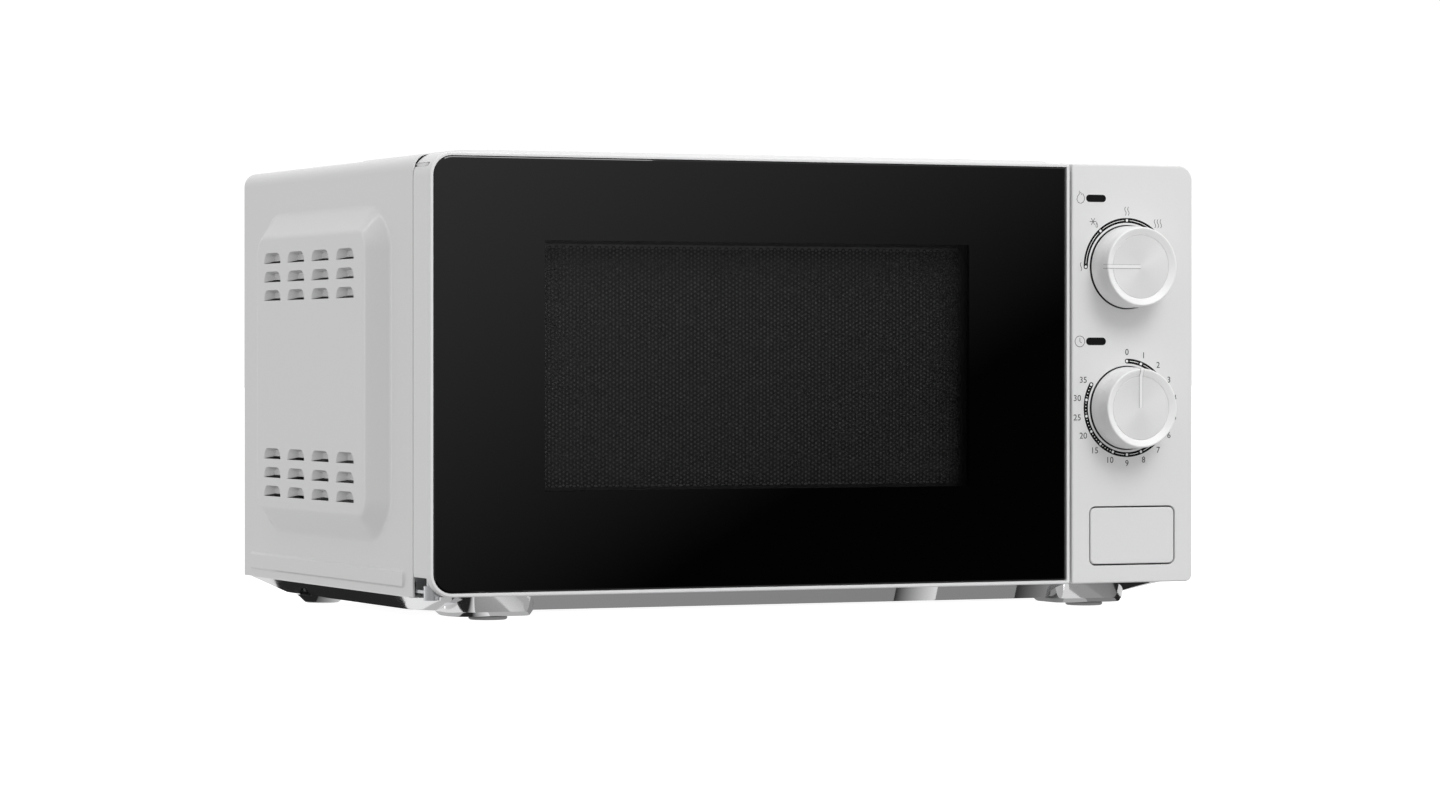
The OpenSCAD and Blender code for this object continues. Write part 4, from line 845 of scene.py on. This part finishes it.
signs = [wave(151.6, power_z, 4.4)]
signs += [wave(dial_x + s, 213.4, 4.4) for s in (-0.9, 0.9)]
signs += [wave(198.7 + s, 206.9, 4.4) for s in (-1.8, 0, 1.8)]
signs += [stroke([(158.9 - 1.9 * cos(pi / 3 * k), 207.6 - 1.9 * sin(pi / 3 * k)),
                  (158.9 + 1.9 * cos(pi / 3 * k), 207.6 + 1.9 * sin(pi / 3 * k))], 0.3) for k in range(3)]
drop = [(161.2 + 0.75 * sin(pi * k / 6) * (0.5 - 0.5 * cos(pi * k / 6)) ** 0.7,
         205.9 + 1.4 * cos(pi * k / 6)) for k in range(12)]
signs += [stroke([*drop, drop[0]], 0.28)]
flame = [(151.4, 217.2), (149.9, 217.8), (149.1, 219.3), (149.5, 221.0), (150.6, 222.3), (150.5, 223.8),
         (151.6, 222.9), (151.9, 221.9), (152.7, 222.5), (153.6, 220.9), (153.7, 219.2), (152.9, 217.8),
         (151.4, 217.2)]
signs += [stroke(flame, 0.28)]
signs += [arc(150.9, 143.3, 2.9, 0, 359, 0.28, 40),
          stroke([(150.9, 145.1), (150.9, 143.2), (151.9, 142.6)], 0.28)]
print_on("scale_signs", grey_ink, signs, 0.05)


def numeral(text, cx, cz, tall=3.4):
    """A printed number, upright on the panel, as a flat mesh."""
    curve = bpy.data.curves.new("numeral_" + text, "FONT")
    curve.body, curve.size, curve.align_x, curve.align_y = text, tall * 1.35 * MM, "CENTER", "CENTER"
    curve.offset = 0.015 * MM
    curve.space_character = 1.05
    drawn = bpy.data.objects.new("numeral", curve)
    scene.collection.objects.link(drawn)
    graph = bpy.context.evaluated_depsgraph_get()
    graph.update()
    mesh = bpy.data.meshes.new_from_object(drawn.evaluated_get(graph))
    bpy.data.objects.remove(drawn)
    points = [(cx + v.co.x / MM, panel_front - 0.05, cz + v.co.y / MM) for v in mesh.vertices]
    return points, [tuple(f.vertices) for f in mesh.polygons]


numbers = Sheet()
for text, angle in zip(["0", "1", "2", "3", "4", "5", "6", "7", "8", "9", "10", "15", "20", "25", "30", "35"],
                       timer_marks):
    reach = label_r + (0.9 if len(text) > 1 and abs(sin(radians(angle))) > 0.3 else 0)
    points, faces = numeral(text, dial_x + reach * sin(radians(angle)),
                            timer_z + label_r * cos(radians(angle)))
    start = len(numbers.points)
    numbers.points += points
    numbers.faces += [tuple(start + i for i in f) for f in faces]
numbers.piece("scale_numbers", grey_ink, "cabinet", "panel_plastic")

# ---------------------------------------------------------------- dials
# Two white dials on steel shafts: a moulded skirt with a finely ribbed waist and a plain front band, a
# sloping lip, a spun metal face, and a raised pointer bar laid over face, lip and band.

dial_plastic = finish("dial_plastic", (0.90, 0.90, 0.90), 0.38, grain=0.7, relief=0.006, shade=0.008)
face_metal = finish("dial_metal", (0.82, 0.82, 0.82), 0.4, 0.15, grain=0.35, relief=0.002, shade=0.03)
face_shader = face_metal.node_tree.nodes["Principled BSDF"]
face_shader.inputs["Anisotropic"].default_value = 0.75
spin = face_metal.node_tree.nodes.new("ShaderNodeTangent")
spin.direction_type, spin.axis = "RADIAL", "Y"
link(face_metal.node_tree, ((spin, "Tangent"), (face_shader, "Tangent")))
# Painted shadow: a dark grey for the thin strips along each pointer bar, standing in for the shadows at the
# bar's edges.
painted_groove_shadow = finish("groove_shadow", (0.16, 0.16, 0.16), 0.6, grain=0.6, relief=0.004)

for control, turn in (("timer", 90), ("power", 180)):
    knob_low, knob_high = span(control + "_knob")
    cap_low, cap_high = span(control + "_cap")
    cx, cz = (knob_low[0] + knob_high[0]) / 2, (knob_low[2] + knob_high[2]) / 2
    base_r, tip, foot_y = (knob_high[0] - knob_low[0]) / 2, knob_low[1], knob_high[1]
    cap_r = (cap_high[0] - cap_low[0]) / 2
    face_y = cap_low[1]
    ribs = []
    for k in range(7):
        y = foot_y - 5.6 - k * 0.95
        ribs += [(base_r - 0.36 - 0.03 * k, y), (base_r - 0.36 - 0.03 * k, y - 0.35),
                 (base_r - 0.5 - 0.03 * k, y - 0.5), (base_r - 0.5 - 0.03 * k, y - 0.8)]
    skirt = [(base_r - 2, foot_y), (base_r - 0.2, foot_y), (base_r, foot_y - 0.3),
             (base_r - 0.18, foot_y - 5.2), *ribs, (base_r - 0.55, tip + 4.3),
             (base_r - 0.85, tip + 0.9), (base_r - 1.0, tip + 0.35),
             (base_r - 1.35, tip + 0.05), (base_r - 1.7, tip), (base_r - 2.05, tip + 0.15),
             (cap_r + 0.25, face_y - 0.1), (cap_r + 0.02, face_y + 0.15), (cap_r + 0.02, face_y + 1.5),
             (base_r - 4, face_y + 1.5), (base_r - 3, foot_y)]
    skirt.append(skirt[0])
    knob = Sheet()
    knob.lathe(skirt, lambda a, b, h: (cx + a, h, cz + b), 128)
    knob.piece(control + "_dial", dial_plastic, control, "dial_plastic", control + "_knob", sharp=50)
    disc = Sheet()
    disc.lathe([(0, face_y), (cap_r - 0.25, face_y), (cap_r, face_y + 0.25), (cap_r, cap_high[1]),
                (0, cap_high[1])], lambda a, b, h: (cx + a, h, cz + b), 96)
    disc.piece(control + "_face", face_metal, control, "dial_metal", control + "_cap")
    c, s = cos(radians(turn)), sin(radians(turn))
    path = [(0.2, face_y), (cap_r - 0.1, face_y), (base_r - 2.05, tip + 0.05), (base_r - 1.35, tip - 0.02),
            (base_r - 0.95, tip + 0.3), (base_r - 0.85, tip + 0.9), (base_r - 0.6, tip + 4.2)]
    # The two thin dark strips beside each white bar are painted shadow of its edges.
    for label, half, offset, proud, applied_material in (("pointer", 0.95, 0, 0.1, dial_plastic),
                                            ("pointer_shadow_line", 0.11, 1.05, 0.06, painted_groove_shadow),
                                            ("pointer_shade", 0.06, -1.03, 0.05, painted_groove_shadow)):
        bar = Sheet()
        rows_of_bar = []
        for k, (r, y) in enumerate(path):
            out = proud if k > 3 else 0
            up = proud if k < 5 else 0
            rows_of_bar.append([(cx + (r + out) * c - w * s, y - up, cz + (r + out) * s + w * c)
                                for w in (offset - half, offset + half)])
        bar.loft(rows_of_bar, closed=False)
        if label == "pointer":
            bar.loft([[(x, y + 0.2, z) for x, y, z in rows_of_bar[0]], rows_of_bar[0]], closed=False)
        bar.piece(f"{control}_{label}", applied_material, control, "dial_plastic")

# ---------------------------------------------------------------- release button
# A wide push button of the panel's own white plastic, standing flush in its opening; pressing it lifts
# the latch hooks through the lever behind.

keycap = Sheet()
depth = button_low[1]


def button_ring(inset, y):
    """The button's outline drawn in by `inset`."""
    return [(u, y, v) for u, v in rounded(button_low[0] + inset, button_low[2] + inset,
                                          button_high[0] - inset, button_high[2] - inset,
                                          [button_r - inset] * 4)]


wall, skirt_deep = 2.4, 9
outline = [button_ring(wall, depth + wall), button_ring(wall, depth + skirt_deep),
           button_ring(0, depth + skirt_deep)]
outline += [button_ring(inset, y) for inset, y in soften(0.7, depth)]
keycap.loft(outline)
keycap.fill(flat(outline[-1]), [], lambda u, v: (u, depth, v))
keycap.fill(flat(outline[0]), [], lambda u, v: (u, depth + wall, v))
stem_x, stem_z, stem_r = 180, 34.5, 2.5
keycap.lathe([(stem_r, depth + wall), (stem_r, button_high[1] - 1.3), (stem_r / 2, button_high[1]),
              (0, button_high[1])], lambda a, b, h: (stem_x + a, h, stem_z + b), 32)
keycap.piece("push_button", panel_plastic, "button", "panel_plastic", "release_button")

# ---------------------------------------------------------------- closing
# The box of the finished model is measured.

low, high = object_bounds()
